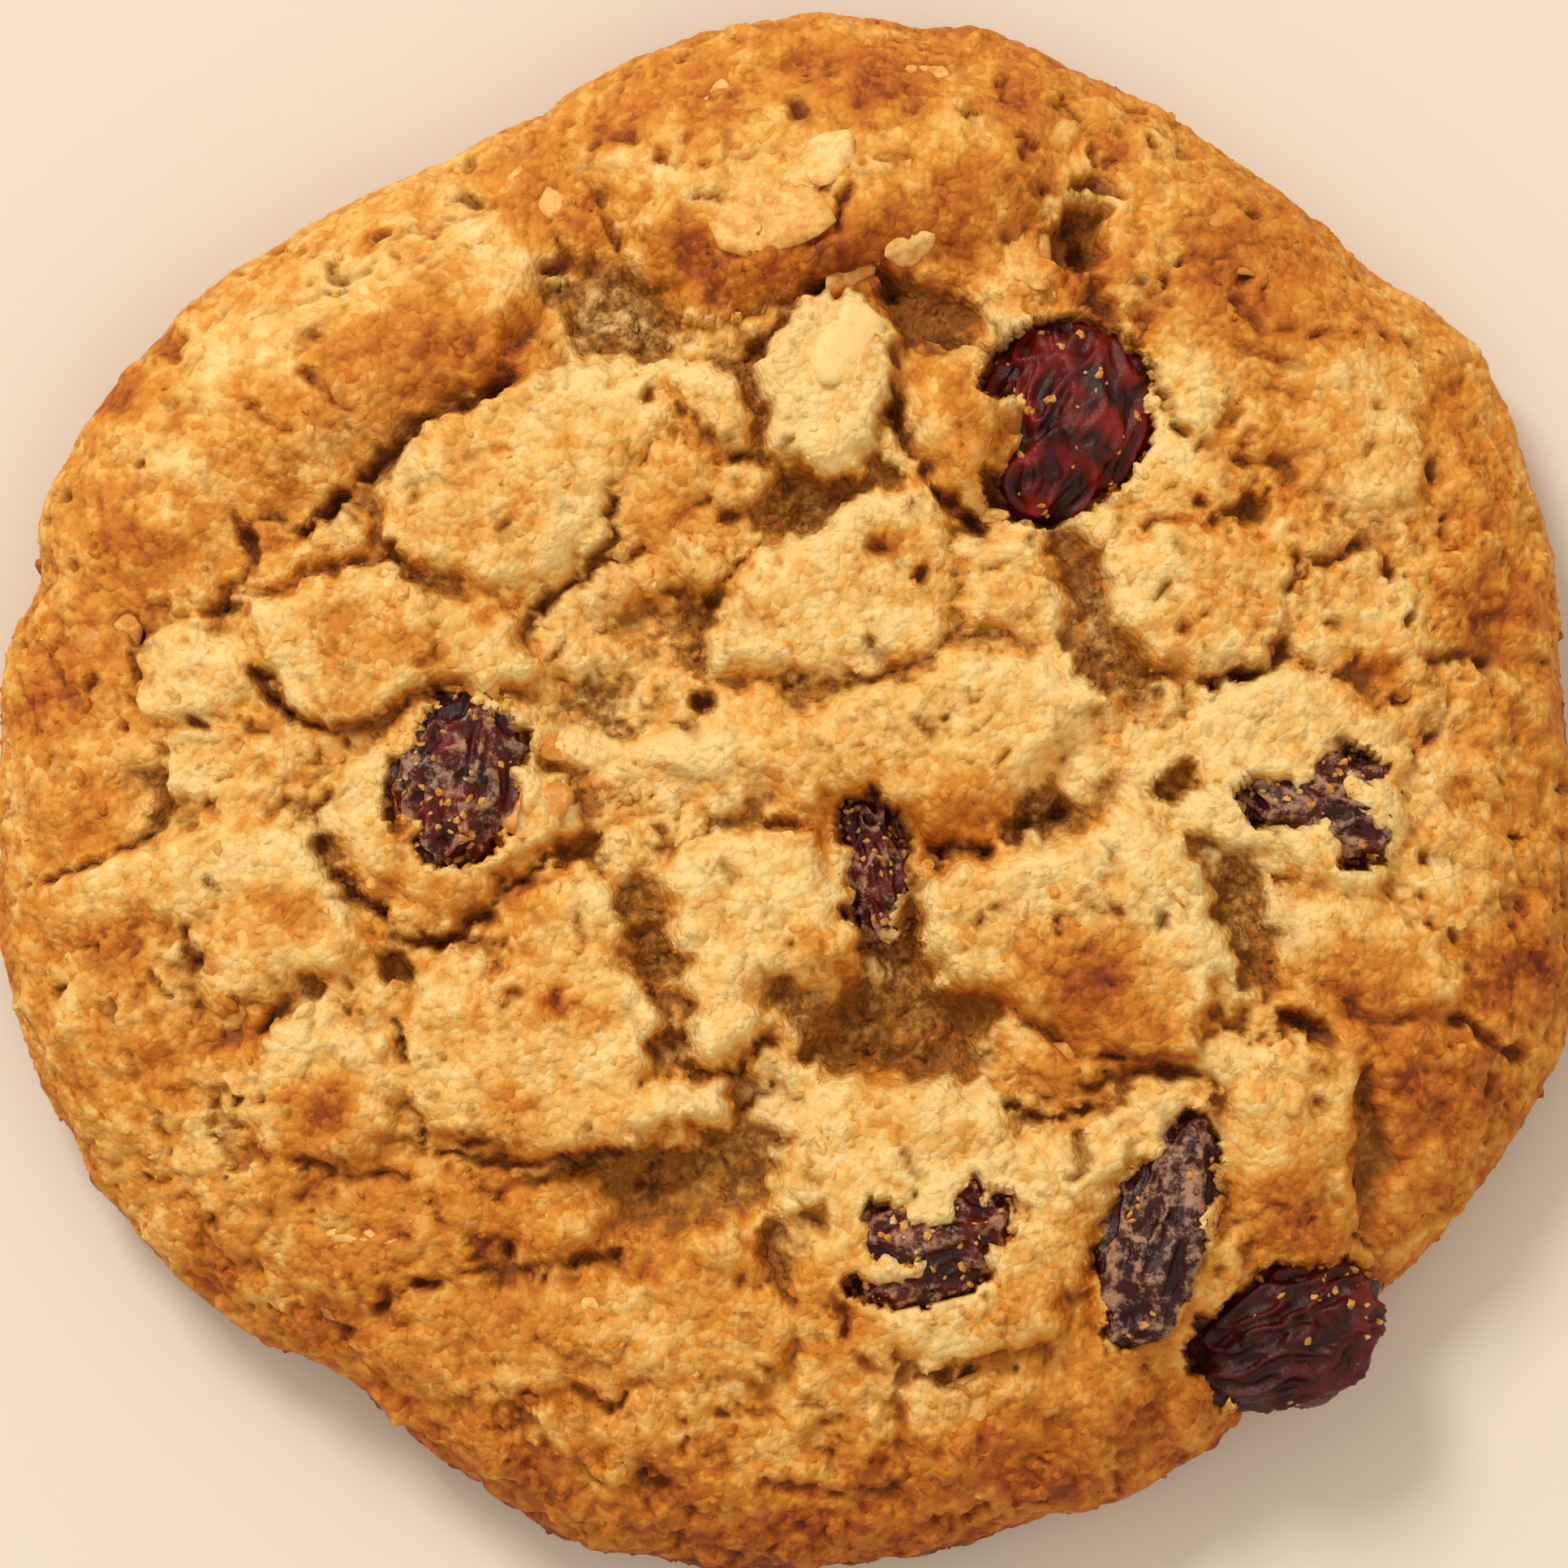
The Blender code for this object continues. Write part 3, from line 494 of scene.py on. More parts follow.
chunks = (smooth_step(0.0, 0.40, chunk_edge) * (0.25 + 0.75 * chunk_tag) - 0.5) * 0.95
lumplets = (dome(lump_near) * (0.3 + 0.7 * lump_tag) - 0.45) * 0.85
crumbs = (dome(crumb_near / 0.9) * (0.4 + 0.6 * crumb_tag) - 0.5) * 0.50
detail = 0.66 * chunks * rough + lumplets * (0.12 + 0.75 * rough) + crumbs * (0.28 + 0.64 * rough)
detail += 0.22 * drift(skin, 2.6, 71) + 0.12 * drift(skin, 0.95, 72) + 0.05 * drift(skin, 0.55, 73)

# Short wavy creases where the skin dried and parted
crease = np.zeros(len(skin))
for seed, size, width in ((201, 2.6, 0.055), (211, 1.9, 0.06), (221, 1.4, 0.07)):
    line = np.exp(-((drift(skin + 0.6 * fine, size, seed) / width) ** 2))
    crease = np.maximum(crease, line * smooth_step(0.05, 0.45, drift(skin, 1.3 * size, seed + 5)))
detail -= 0.22 * crease
# Creases are darkened with painted shade
gap = np.maximum(gap, 0.30 * crease * on_top)

# Up from the plain skin, and then the edge in and out: two notches, a shoulder and slow swells
KEPT_RISE = 0.86  # the plates settled a little as they baked
KEPT_SPLIT = 0.9
lift = on_top * (KEPT_RISE * rise - sink - KEPT_SPLIT * split)
lift += detail * (1.0 - 0.85 * under) * (0.55 + 0.45 * on_top)
lift -= 0.15 + 0.05 * on_top
notch = round_spot(x, y, -38.0, 10.0, 2.2) + round_spot(x, y, -23.2, -30.6, 1.8)
shoulder = round_spot(x, y, 33.5, 21.5, 3.0)
edge_shift = 0.7 * shoulder + 0.45 * towards(90, 20) - 0.9 * notch
edge_shift += 0.35 * drift(skin * [1, 1, 0.3], 5.0, 81)
edge_shift *= smooth_step(0.8, 0.97, share)
dough = skin + outward * lift[:, None]
flat_out = np.stack([np.cos(np.arctan2(y, x)), np.sin(np.arctan2(y, x)), np.zeros(len(x))], 1)
dough += flat_out * (edge_shift * (1.0 - under))[:, None]
# Shallow pores in the flat base
pores_below = np.clip(crumb_near - 0.55, 0.0, 1.0) + 0.10 * (drift(skin, 6.0, 91) + 1.0)
pores_below = np.abs(pores_below) * 0.5 * smooth_step(0.0, 0.9, 1 - share)
dough[:, 2] = np.where(under > 0.5, pores_below, dough[:, 2])
dough[:, 2] = np.maximum(dough[:, 2], 0.0)

# ---------------------------------------------------------------------------------------------
# Where the raisins lie. Each is bare in patches, where the dough's skin drops just below the
# raisin's, and covered by a thin film of dough elsewhere.

# Half length, half width, half height, turn about the vertical
RAISINS = {
    "raisin_1": (5.5, 4.5, 3.1, 68), "raisin_2": (4.7, 3.7, 2.8, 78), "raisin_3": (4.0, 2.3, 2.5, -78),
    "raisin_4": (4.6, 3.2, 2.5, -24), "raisin_5": (6.3, 2.9, 2.5, 73), "raisin_6": (4.9, 3.1, 2.4, 18),
    "raisin_7": (5.2, 3.9, 3.0, 22),
}
# Bare patches: x, y, radius
BARE = {
    "raisin_1": ((11.2, 20.2, 2.0), (13.4, 20.0, 2.6), (14.8, 18.6, 3.0), (14.6, 16.4, 3.2),
                 (13.3, 14.5, 2.4), (12.2, 13.4, 2.0), (11.0, 13.6, 1.2)),
    "raisin_2": ((-16.2, 1.6, 2.0), (-14.2, 1.4, 1.6), (-17.5, -0.8, 2.0), (-15.6, -1.2, 2.2),
                 (-16.0, -3.4, 1.7), (-15.6, -4.6, 1.0)),
    "raisin_3": ((4.4, -2.8, 1.2), (5.0, -4.3, 1.2), (4.6, -6.2, 1.3)),
    "raisin_4": ((23.2, -1.4, 0.9), (24.3, -1.5, 1.1), (25.6, -1.9, 1.2), (26.8, -2.0, 0.8),
                 (27.8, -2.8, 0.8), (28.4, -3.4, 1.1), (28.8, -4.4, 1.0), (28.4, 1.0, 1.0),
                 (27.4, 0.3, 0.9), (26.4, -0.6, 0.7)),
    "raisin_5": ((20.6, -16.8, 0.9), (19.9, -18.2, 1.3), (18.9, -20.2, 1.8), (18.0, -22.4, 2.2),
                 (17.4, -24.2, 2.1), (17.2, -26.0, 1.5), (17.0, -27.4, 0.9)),
    "raisin_6": ((4.7, -21.9, 0.7), (5.0, -22.8, 0.8), (6.4, -23.2, 0.9), (7.6, -23.2, 1.0),
                 (8.8, -22.8, 0.9), (9.1, -20.8, 0.6), (9.2, -21.6, 0.6), (10.2, -21.8, 0.9),
                 (8.4, -24.6, 1.1), (7.4, -25.4, 0.9), (6.0, -25.7, 0.7), (4.8, -25.7, 0.7),
                 (3.6, -25.5, 0.7)),
    "raisin_7": ((25.0, -27.7, 3.7), (22.4, -28.4, 2.2), (27.2, -26.8, 2.6), (26.0, -30.0, 4.0)),
}


def raisin_middle(name):
    """Middle of a raisin's box, in millimetres."""
    low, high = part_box(name)
    return np.array((low + high) / 2) * 1000.0


BARE_DROP = 1.1  # how far below the raisin's skin the dough lies where the raisin is bare
crumbly_rim = np.zeros(len(skin))
for name, (half_length, half_width, half_height, turn) in RAISINS.items():
    middle = raisin_middle(name)
    away = oval(dough[:, 0], dough[:, 1], middle[0], middle[1], half_length, half_width, turn)
    surface = middle[2] + half_height * dome(away)
    bare = np.full(len(skin), -9.0)
    # The broken raisin's small patches keep their places, and the others' stray with the crumb
    px, py = (fx, fy) if name == "raisin_6" else (wx, wy)
    for patch_x, patch_y, radius in BARE[name]:
        bare = np.maximum(bare, radius - np.hypot(px - patch_x, py - patch_y))
    # Crumbs eat into the patches' edges, except on the largest raisin, which lies clear of them
    if name != "raisin_1":
        bare += 0.40 * drift(skin, 1.0, 103) + 0.20 * drift(skin, 0.55, 104)
    over = (away < 1.0) & (on_top > 0.2)
    film = smooth_step(0.15, -0.35, bare)
    ragged = 0.30 * drift(skin, 0.9, 101) + 0.15 * drift(skin, 0.5, 102)
    wanted = surface - BARE_DROP + (1.4 + 0.5 * ragged) * film
    pulled = np.where(bare > -0.4, np.minimum(dough[:, 2], wanted),
                      np.maximum(dough[:, 2], surface + 0.15 + 0.2 * ragged))
    dough[:, 2] = np.where(over, pulled, dough[:, 2])
    crumbly_rim = np.maximum(crumbly_rim, np.exp(-(((bare + 0.25) / 0.45) ** 2)) * (away < 1.3))

# ---------------------------------------------------------------------------------------------
# How far each place baked, with painted shade added. The rim and the tops of some lumps browned
# most, the middle stayed pale, and torn hollows show grey-brown crumb darkened by painted shade;
# dips, cracks and the sides that look away from the key light get painted shade too.

edges = np.concatenate([triangles[:, [0, 1]], triangles[:, [1, 2]], triangles[:, [2, 0]]])
neighbours = np.bincount(edges.ravel(), minlength=len(skin)).astype(float)


def spread_out(values, times):
    """Values averaged with their neighbours on the skin, again and again."""
    for _ in range(times):
        near = np.bincount(edges[:, 0], values[edges[:, 1]], len(skin))
        near += np.bincount(edges[:, 1], values[edges[:, 0]], len(skin))
        values = near / neighbours
    return values


lifted = np.sum((dough - skin) * outward, axis=1)
dips = []
for times in (2, 10, 70):
    dip = spread_out(lifted, times) - lifted
    dips.append(np.clip(dip / np.std(dip[on_top > 0.5]), -2.5, 2.5))
# How deep each place lies in a hollow: it darkens the colour there as painted shade, and crumbs lie thicker
# there
hollow_shade = smooth_step(0.6, 2.4, dips[2] + 0.25 * dips[1] + 0.9 * sink) * on_top

# Brown places: x, y, radius, strength. Most are browning; those on the faces that look to the lower
# right, below the upper-left slab and the top lump, are partly painted shade
BROWNED_AND_SHADED = (
    (-31.0, 11.0, 2.8, 0.46), (-25.5, 14.4, 3.6, 0.32), (-23.5, 17.4, 2.6, 0.32), (-20.0, 19.6, 3.0, 0.46),
    (-16.5, 20.8, 3.0, 0.46), (-13.5, 20.8, 2.4, 0.40), (-17.0, 24.0, 2.4, 0.2), (-12.0, 28.5, 2.8, 0.42),
    (-9.0, 27.0, 2.0, 0.4), (-8.0, 31.2, 1.8, 0.4), (-3.5, 32.4, 2.4, 0.4), (-3.5, 24.4, 2.2, 0.64),
    (0.0, 24.4, 2.2, 0.64), (3.0, 25.6, 2.0, 0.6), (8.5, 27.4, 2.8, 0.55), (11.5, 29.0, 2.0, 0.35),
    (5.0, 33.2, 3.4, 0.38), (11.0, 32.5, 3.0, 0.22), (16.5, 31.5, 3.0, 0.22), (24.0, 21.0, 2.4, 0.35),
    (28.5, 23.0, 2.4, 0.18), (17.5, 21.0, 1.6, 0.4), (-33.0, 19.6, 1.6, 0.5), (-30.8, 21.8, 1.2, 0.45),
    (-19.8, 26.3, 0.9, 0.4), (-18.7, 6.4, 0.8, 0.45), (-24.3, -6.4, 1.5, 0.4), (-32.5, -9.4, 2.4, 0.42),
    (-34.5, -2.0, 2.6, 0.35), (-36.5, 3.0, 2.4, 0.38), (-22.2, -16.9, 1.9, 0.55), (-26.6, -13.2, 1.7, 0.5),
    (-24.2, -19.8, 1.8, 0.4), (-11.0, -11.4, 1.1, 0.55), (-9.0, -12.0, 1.0, 0.35), (-13.0, -16.6, 1.4, 0.3),
    (-17.5, -5.6, 2.6, 0.35), (2.6, -9.4, 1.8, 0.35), (14.8, -10.6, 1.5, 0.7), (14.5, -11.0, 3.6, 0.40),
    (9.5, -12.0, 1.6, 0.4), (18.0, -13.0, 2.4, 0.4), (27.5, -10.6, 2.6, 0.35), (24.0, -21.2, 2.4, 0.4),
    (25.5, -22.6, 2.2, 0.3), (35.8, -10.0, 3.0, 0.55), (33.5, -15.5, 3.4, 0.4), (9.2, 16.0, 2.6, 0.48),
    (8.2, 18.6, 2.4, 0.44), (28.5, 5.0, 1.6, 0.35), (33.5, 14.0, 3.2, 0.32), (35.5, 8.4, 2.6, 0.45),
    (32.0, 19.0, 2.6, 0.22), (4.6, 10.9, 0.8, 0.5), (6.8, 9.5, 0.5, 0.5), (8.0, -2.4, 2.6, 0.35),
    (2.0, -1.8, 2.2, 0.3), (11.0, -26.0, 2.6, 0.3), (5.5, -16.2, 1.6, 0.3), (12.5, -33.5, 4.0, 0.3),
    (17.0, -31.0, 2.6, 0.3), (-23.0, -27.4, 2.0, 0.4), (-28.0, -24.5, 2.4, 0.35), (22.0, 8.0, 1.6, 0.2),
    (19.0, 6.6, 1.8, 0.25), (-20.0, 8.0, 9.0, 0.20), (-15.0, -4.0, 6.0, 0.22), (-5.5, 13.5, 4.5, 0.26),
    (6.5, 22.5, 3.0, 0.36), (-14.5, -23.5, 6.5, 0.31), (-4.0, -22.5, 5.5, 0.36), (-22.0, -22.0, 4.5, 0.20),
    (5.0, -14.0, 4.0, 0.26), (14.0, -14.5, 3.0, 0.36), (-34.0, 5.5, 4.0, 0.30), (-32.0, -14.0, 4.0, 0.28),
    (-5.0, 25.6, 2.2, 0.42), (1.5, 25.2, 2.2, 0.42), (5.5, 26.4, 2.0, 0.38), (30.0, -15.0, 4.5, 0.34),
    (8.5, -7.5, 3.0, 0.20), (17.0, -25.5, 5.0, 0.26), (-6.0, -34.0, 4.0, 0.20), (3.0, -26.5, 3.5, 0.26),
    (18.5, 24.0, 4.0, 0.34), (24.0, 24.5, 5.5, 0.46), (24.0, 14.5, 5.0, 0.30), (-13.0, -6.0, 3.0, 0.28),
    (14.8, 24.5, 2.4, 0.44), (-6.0, 6.6, 3.4, 0.20),
)
# The rim: how brown at each bearing, and from what share of the radius. It is darkest towards the
# bottom and lower right, partly browning and partly painted shade on the side away from the key light
rim_brown_and_shade = (0.16 + 0.26 * towards(270, 45) + 0.06 * towards(330, 30) + 0.10 * towards(88, 28)
                + 0.06 * towards(5, 25))
rim_reach = 0.80 - 0.20 * towards(85, 32) - 0.06 * towards(270, 60)
bake = rim_brown_and_shade * smooth_step(rim_reach, 0.97, share + 0.03 * drift(skin, 6.0, 111))
bake += 0.30 * smooth_step(WAIST_HEIGHT + 2.0, WAIST_HEIGHT - 2.0, skin[:, 2]) * (share > 0.9)
for middle_x, middle_y, radius, strength in BROWNED_AND_SHADED:
    spot = strength * round_spot(wx, wy, middle_x, middle_y, radius)
    bake = np.maximum(bake, bake * 0.6 + spot)
bake += 0.12 * drift(skin, 4.5, 121) + 0.13 * drift(skin, 1.9, 122) + 0.11 * drift(skin, 0.85, 123)
bake += 0.05 * (crumb_tag - 0.5) + 0.05 * (lump_tag - 0.5) + plate_tone
# Painted shade: places that lie lower than their surroundings are browned a little more
bake += 0.03 * dips[0] + 0.04 * dips[1] + 0.04 * dips[2]
# Steep sides browned too, and painted shade on the sides that look to the lower right, away from the key
# light
corner = dough[triangles]
facing = np.cross(corner[:, 1] - corner[:, 0], corner[:, 2] - corner[:, 0])
facing /= np.linalg.norm(facing, axis=1)[:, None]
facing = np.stack([sum(np.bincount(triangles[:, k], facing[:, axis], len(skin)) for k in range(3))
                   for axis in range(3)], 1)
facing /= np.bincount(triangles.ravel(), minlength=len(skin))[:, None]
steep = smooth_step(0.85, 0.2, spread_out(facing[:, 2], 2))
painted_side_shade = 0.45 + 0.55 * np.clip(1.4 * spread_out(facing[:, 0] - 1.2 * facing[:, 1], 2), -0.8, 1.0)
bake += 0.27 * steep * painted_side_shade * smooth_step(0.93, 0.85, share)
pale_rim = 0.10 * towards(128, 42) + 0.09 * towards(35, 22) + 0.07 * towards(213, 18)
bake = np.clip(bake + 0.12 + (0.09 - pale_rim) * smooth_step(0.55, 0.8, share), 0.0, 1.0)
base_bake = 0.62 + 0.12 * drift(skin, 7.0, 131) + 0.1 * drift(skin, 2.0, 132)
bake = np.where(under > 0.5, base_bake, bake)
gap = np.clip(gap * on_top, 0.0, 1.0)

# How thickly crumbs lie
crumbly = 0.10 + 0.5 * rough + 0.6 * hollow_shade + 0.25 * drift(skin, 4.0, 141) + 0.8 * crumbly_rim
crumbly = np.clip(crumbly * (1.0 - 0.9 * gap), 0.02, 1.0)
crumbly *= (1.0 - under) * (1.0 - 0.7 * calm) * smooth_step(0.2, 2.0, dough[:, 2])


def point_values(target, title, values):
    """Stores a number for each point of a mesh."""
    stored = target.attributes.new(title, "FLOAT", "POINT").data
    stored.foreach_set("value", np.broadcast_to(np.float32(values), len(stored)).copy())


mesh = bpy.data.meshes.new("cookie_dough_baked")
mesh.from_pydata((dough * MM).tolist(), [], triangles.tolist())
mesh.shade_smooth()
for title, values in (("bake", bake), ("hollow_shade", hollow_shade), ("gap", gap), ("crumbly", crumbly)):
    point_values(mesh, title, values)
baked_dough = bpy.data.objects.new("baked_dough", mesh)
bpy.context.scene.collection.objects.link(baked_dough)


def linear(code):
    """The linear colour of an sRGB hex value."""
    channels = [int(code[i:i + 2], 16) / 255.0 for i in (1, 3, 5)]
    return [c / 12.92 if c <= 0.04045 else ((c + 0.055) / 1.055) ** 2.4 for c in channels] + [1.0]


def add_node(tree, kind, settings=(), links=()):
    """A node with its settings and its incoming links."""
    node = tree.nodes.new(kind)
    for title, value in dict(settings).items():
        if isinstance(title, str) and hasattr(node, title):
            setattr(node, title, value)
        else:
            node.inputs[title].default_value = value
    for title, source in dict(links).items():
        tree.links.new(source, node.inputs[title])
    return node


def new_material(name, roughness):
    """A material, its node tree and the inputs of its Principled BSDF."""
    material = bpy.data.materials.new(name)
    material.use_nodes = True
    inputs = material.node_tree.nodes["Principled BSDF"].inputs
    inputs["Roughness"].default_value = roughness
    return material, material.node_tree, inputs


def set_colours(ramp, stops):
    """Gives a colour ramp its stops: place and sRGB hex value."""
    while len(ramp.elements) < len(stops):
        ramp.elements.new(0.5)
    for element, (where, code) in zip(ramp.elements, stops):
        element.position = where
        element.color = linear(code)


SAND = 0.45  # mm, ground oat and sugar in the crust
GRAIN = 0.46  # mm, grains that baked unevenly; the real ones are finer than would show


def crust_material():
    """Baked oat dough: matt, gold where pale and brown where it browned, sandy when seen close.

    Torn hollows show mottled crumb darkened by painted shade, and the cracks between the plates are dark,
    partly darker crumb and partly painted shade.
    """
    material, tree, inputs = new_material("baked_oat_dough", 0.66)
    bake_and_shade_in, hollow_shade_in, gap_shade_in, tone_in = (
        add_node(tree, "ShaderNodeAttribute", {"attribute_name": title}).outputs["Fac"]
        for title in ("bake", "hollow_shade", "gap", "tone"))
    place = add_node(tree, "ShaderNodeTexCoord").outputs["Object"]
    sand = add_node(tree, "ShaderNodeTexNoise",
                    {"Scale": 1 / (SAND * MM), "Detail": 2.0, "Roughness": 0.6}, {"Vector": place})
    grain = add_node(tree, "ShaderNodeTexVoronoi", {"Scale": 1 / (GRAIN * MM)}, {"Vector": place})
    grain_tone = add_node(tree, "ShaderNodeSeparateColor", {}, {"Color": grain.outputs["Color"]})
    grit = add_node(tree, "ShaderNodeMath", {"operation": "SUBTRACT"},
                    {0: sand.outputs["Fac"], 1: grain.outputs["Distance"]})
    mixed = add_node(tree, "ShaderNodeMath", {"operation": "MULTIPLY_ADD", 1: -0.30},
                     {0: grit.outputs[0], 2: grain_tone.outputs["Red"]})
    sandy = add_node(tree, "ShaderNodeMath", {"operation": "MULTIPLY_ADD", 1: 0.20, 2: -0.10},
                     {0: mixed.outputs[0]})
    baked_and_shaded = add_node(tree, "ShaderNodeMath", {"operation": "ADD"}, {0: bake_and_shade_in, 1: sandy.outputs[0]})
    toned = add_node(tree, "ShaderNodeMath", {"operation": "ADD", "use_clamp": True},
                     {0: baked_and_shaded.outputs[0], 1: tone_in})
    crust = add_node(tree, "ShaderNodeValToRGB", {}, {"Fac": toned.outputs[0]})
    set_colours(crust.color_ramp, ((0.0, "#F6DA98"), (0.18, "#EDC06E"), (0.38, "#DB9636"),
                                   (0.58, "#C4721E"), (0.80, "#96450C"), (1.0, "#622608")))
    # Painted shade in the hollows, broken up by a mottle like torn crumb
    mottled = add_node(tree, "ShaderNodeMath",
                       {"operation": "MULTIPLY_ADD", 1: 2.4, 2: -0.42, "use_clamp": True},
                       {0: sand.outputs["Fac"]})
    mottled_hollow_shade = add_node(tree, "ShaderNodeMath", {"operation": "MULTIPLY"},
                    {0: hollow_shade_in, 1: mottled.outputs[0]})
    with_hollow_shade = add_node(tree, "ShaderNodeMix", {"data_type": "RGBA", 7: linear("#86561C")},
                           {0: mottled_hollow_shade.outputs[0], 6: crust.outputs["Color"]})
    # Painted shade in the cracks, pits, nicks and creases, partly darker crumb in the cracks
    colour = add_node(tree, "ShaderNodeMix", {"data_type": "RGBA", 7: linear("#581C02")},
                      {0: gap_shade_in, 6: with_hollow_shade.outputs[2]})
    tree.links.new(colour.outputs[2], inputs["Base Color"])
    bump = add_node(tree, "ShaderNodeBump", {"Strength": 0.65, "Distance": 0.24 * MM},
                    {"Height": grit.outputs[0]})
    tree.links.new(bump.outputs["Normal"], inputs["Normal"])
    inputs["IOR"].default_value = 1.45
    inputs["Specular IOR Level"].default_value = 0.35
    return material


dough_material = crust_material()
mesh.materials.append(dough_material)
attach(baked_dough, "root")
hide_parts("cookie_dough")

# ---------------------------------------------------------------------------------------------
# The raisins. Dried grapes that swelled and shone again in the oven: dark red-brown skin in
# folds that run from end to end. Crumbs and flour stick to the ones that lie deeper.

TINT = 1.6  # mm, patches where the flesh glows through
FLOUR = 0.75  # mm, clumps of flour; its single grains are finer than would show


def raisin_material():
    """Raisin skin: near-black red that glows red-brown on the folds, glossy where no flour lies."""
    material, tree, inputs = new_material("raisin_skin", 0.5)
    fold_in, dust_in = (
        add_node(tree, "ShaderNodeAttribute", {"attribute_name": title}).outputs["Fac"]
        for title in ("fold", "dust"))
    place = add_node(tree, "ShaderNodeTexCoord").outputs["Object"]
    tint = add_node(tree, "ShaderNodeTexNoise", {"Scale": 1 / (TINT * MM), "Detail": 2.0},
                    {"Vector": place})
    red = add_node(tree, "ShaderNodeMapRange", {"From Min": 0.35, "From Max": 0.65},
                   {"Value": tint.outputs["Fac"]})
    red_part = add_node(tree, "ShaderNodeMath", {"operation": "MULTIPLY"},
                        {0: fold_in, 1: red.outputs[0]})
    skin_colour = add_node(tree, "ShaderNodeMix",
                           {"data_type": "RGBA", 6: linear("#26050A"), 7: linear("#84191A")},
                           {0: red_part.outputs[0]})
    flour = add_node(tree, "ShaderNodeTexNoise",
                     {"Scale": 1 / (FLOUR * MM), "Detail": 5.0, "Roughness": 0.75}, {"Vector": place})
    floury = add_node(tree, "ShaderNodeMath", {"operation": "ADD"},
                      {0: flour.outputs["Fac"], 1: dust_in})
    dusted = add_node(tree, "ShaderNodeMapRange",
                      {"interpolation_type": "SMOOTHSTEP", "From Min": 0.98, "From Max": 1.16,
                       "To Max": 0.85}, {"Value": floury.outputs[0]})
    colour = add_node(tree, "ShaderNodeMix", {"data_type": "RGBA", 7: linear("#B8927A")},
                      {0: dusted.outputs[0], 6: skin_colour.outputs[2]})
    tree.links.new(colour.outputs[2], inputs["Base Color"])
    rough = add_node(tree, "ShaderNodeMapRange", {"To Min": 0.13, "To Max": 0.8},
                     {"Value": dusted.outputs[0]})
    tree.links.new(rough.outputs[0], inputs["Roughness"])
    bump = add_node(tree, "ShaderNodeBump", {"Strength": 0.6, "Distance": 0.25 * MM},
                    {"Height": flour.outputs["Fac"]})
    tree.links.new(bump.outputs["Normal"], inputs["Normal"])
    inputs["IOR"].default_value = 1.5
    inputs["Specular IOR Level"].default_value = 0.32
    return material


raisin_skin = raisin_material()
# How much flour dusts each raisin, how many crumbs stick to it, how red its folds glow, and how much
# more of all three its far end has than its middle
LOOKS = {
    "raisin_1": (0.22, 0.07, 1.10, 0.00), "raisin_2": (0.50, 0.30, 0.85, 0.00),
    "raisin_3": (0.49, 0.20, 0.70, 0.00), "raisin_4": (0.53, 0.40, 0.45, 0.00),
    "raisin_5": (0.51, 0.10, 0.25, 0.00), "raisin_6": (0.51, 0.35, 0.60, 0.00),
    "raisin_7": (0.24, 0.04, 0.50, 0.10),
}
FAR_APART = 37.0  # mm between the patterns of one raisin and the next
raisin_points, raisin_faces, raisin_crumbly = [], [], []
for number, (name, (half_length, half_width, half_height, turn)) in enumerate(RAISINS.items()):
    bpy.ops.mesh.primitive_ico_sphere_add(subdivisions=6, radius=1.0)
    raisin = bpy.context.active_object
    raisin.name = f"{name}_skin"
    dust, crumbed, redness, lean = LOOKS[name]
    unit = np.zeros(len(raisin.data.vertices) * 3)
    raisin.data.vertices.foreach_get("co", unit)
    unit = unit.reshape(-1, 3)
    body = unit * [half_length, half_width, half_height]
    stretched = body * [0.45, 1.0, 1.0] + FAR_APART * number
    bend = np.stack([drift(stretched, 1.8, 150 + k) for k in range(3)], 1) * 0.55
    fold = 1.0 - np.abs(drift(stretched + bend, 1.35, 160)) * 1.9
    small = 1.0 - np.abs(drift(stretched + bend * 0.5, 0.75, 161)) * 1.8
    depth = 0.48 * (np.clip(fold, 0.0, 1.0) ** 1.5 - 0.7) + 0.20 * (np.clip(small, 0, 1) - 0.6)
    depth += 0.35 * drift(body + FAR_APART * number, 3.6, 162)
    normal = unit / [half_length, half_width, half_height]
    normal /= np.linalg.norm(normal, axis=1)[:, None]
    body = body + normal * (depth - 0.15)[:, None]
    angle = math.radians(turn)
    turned = np.stack([body[:, 0] * math.cos(angle) - body[:, 1] * math.sin(angle),
                       body[:, 0] * math.sin(angle) + body[:, 1] * math.cos(angle), body[:, 2]], 1)
    placed = (turned + raisin_middle(name)) * MM
    faces = np.zeros(len(raisin.data.polygons) * 3, np.int32)
    raisin.data.polygons.foreach_get("vertices", faces)
    raisin_faces.append(faces.reshape(-1, 3) + sum(len(p) for p in raisin_points))
    raisin_points.append(placed)
    patch = smooth_step(-0.35, 0.25, drift(body, 1.5, 163))
    raisin_crumbly.append((crumbed + lean * unit[:, 0]) * patch * smooth_step(-0.1, 0.4, unit[:, 2]))
    raisin.data.vertices.foreach_set("co", placed.ravel())
    glow = (redness + 2.5 * lean * unit[:, 0]) * np.clip(0.25 + 0.75 * fold, 0.0, 1.0)
    point_values(raisin.data, "fold", glow)
    floury = dust + lean * unit[:, 0] + 0.16 * (np.clip(fold, 0.0, 1.0) - 0.6)
    point_values(raisin.data, "dust", floury)
    raisin.data.shade_smooth()
    raisin.data.materials.append(raisin_skin)
    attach(raisin, "root")
    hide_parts(name)

# ---------------------------------------------------------------------------------------------
# Loose and half-baked-in crumbs. Broken grains of dough and oat that stick to the top and the
# side, thickest in the torn hollows. They are scattered over the dough's skin in two sizes.


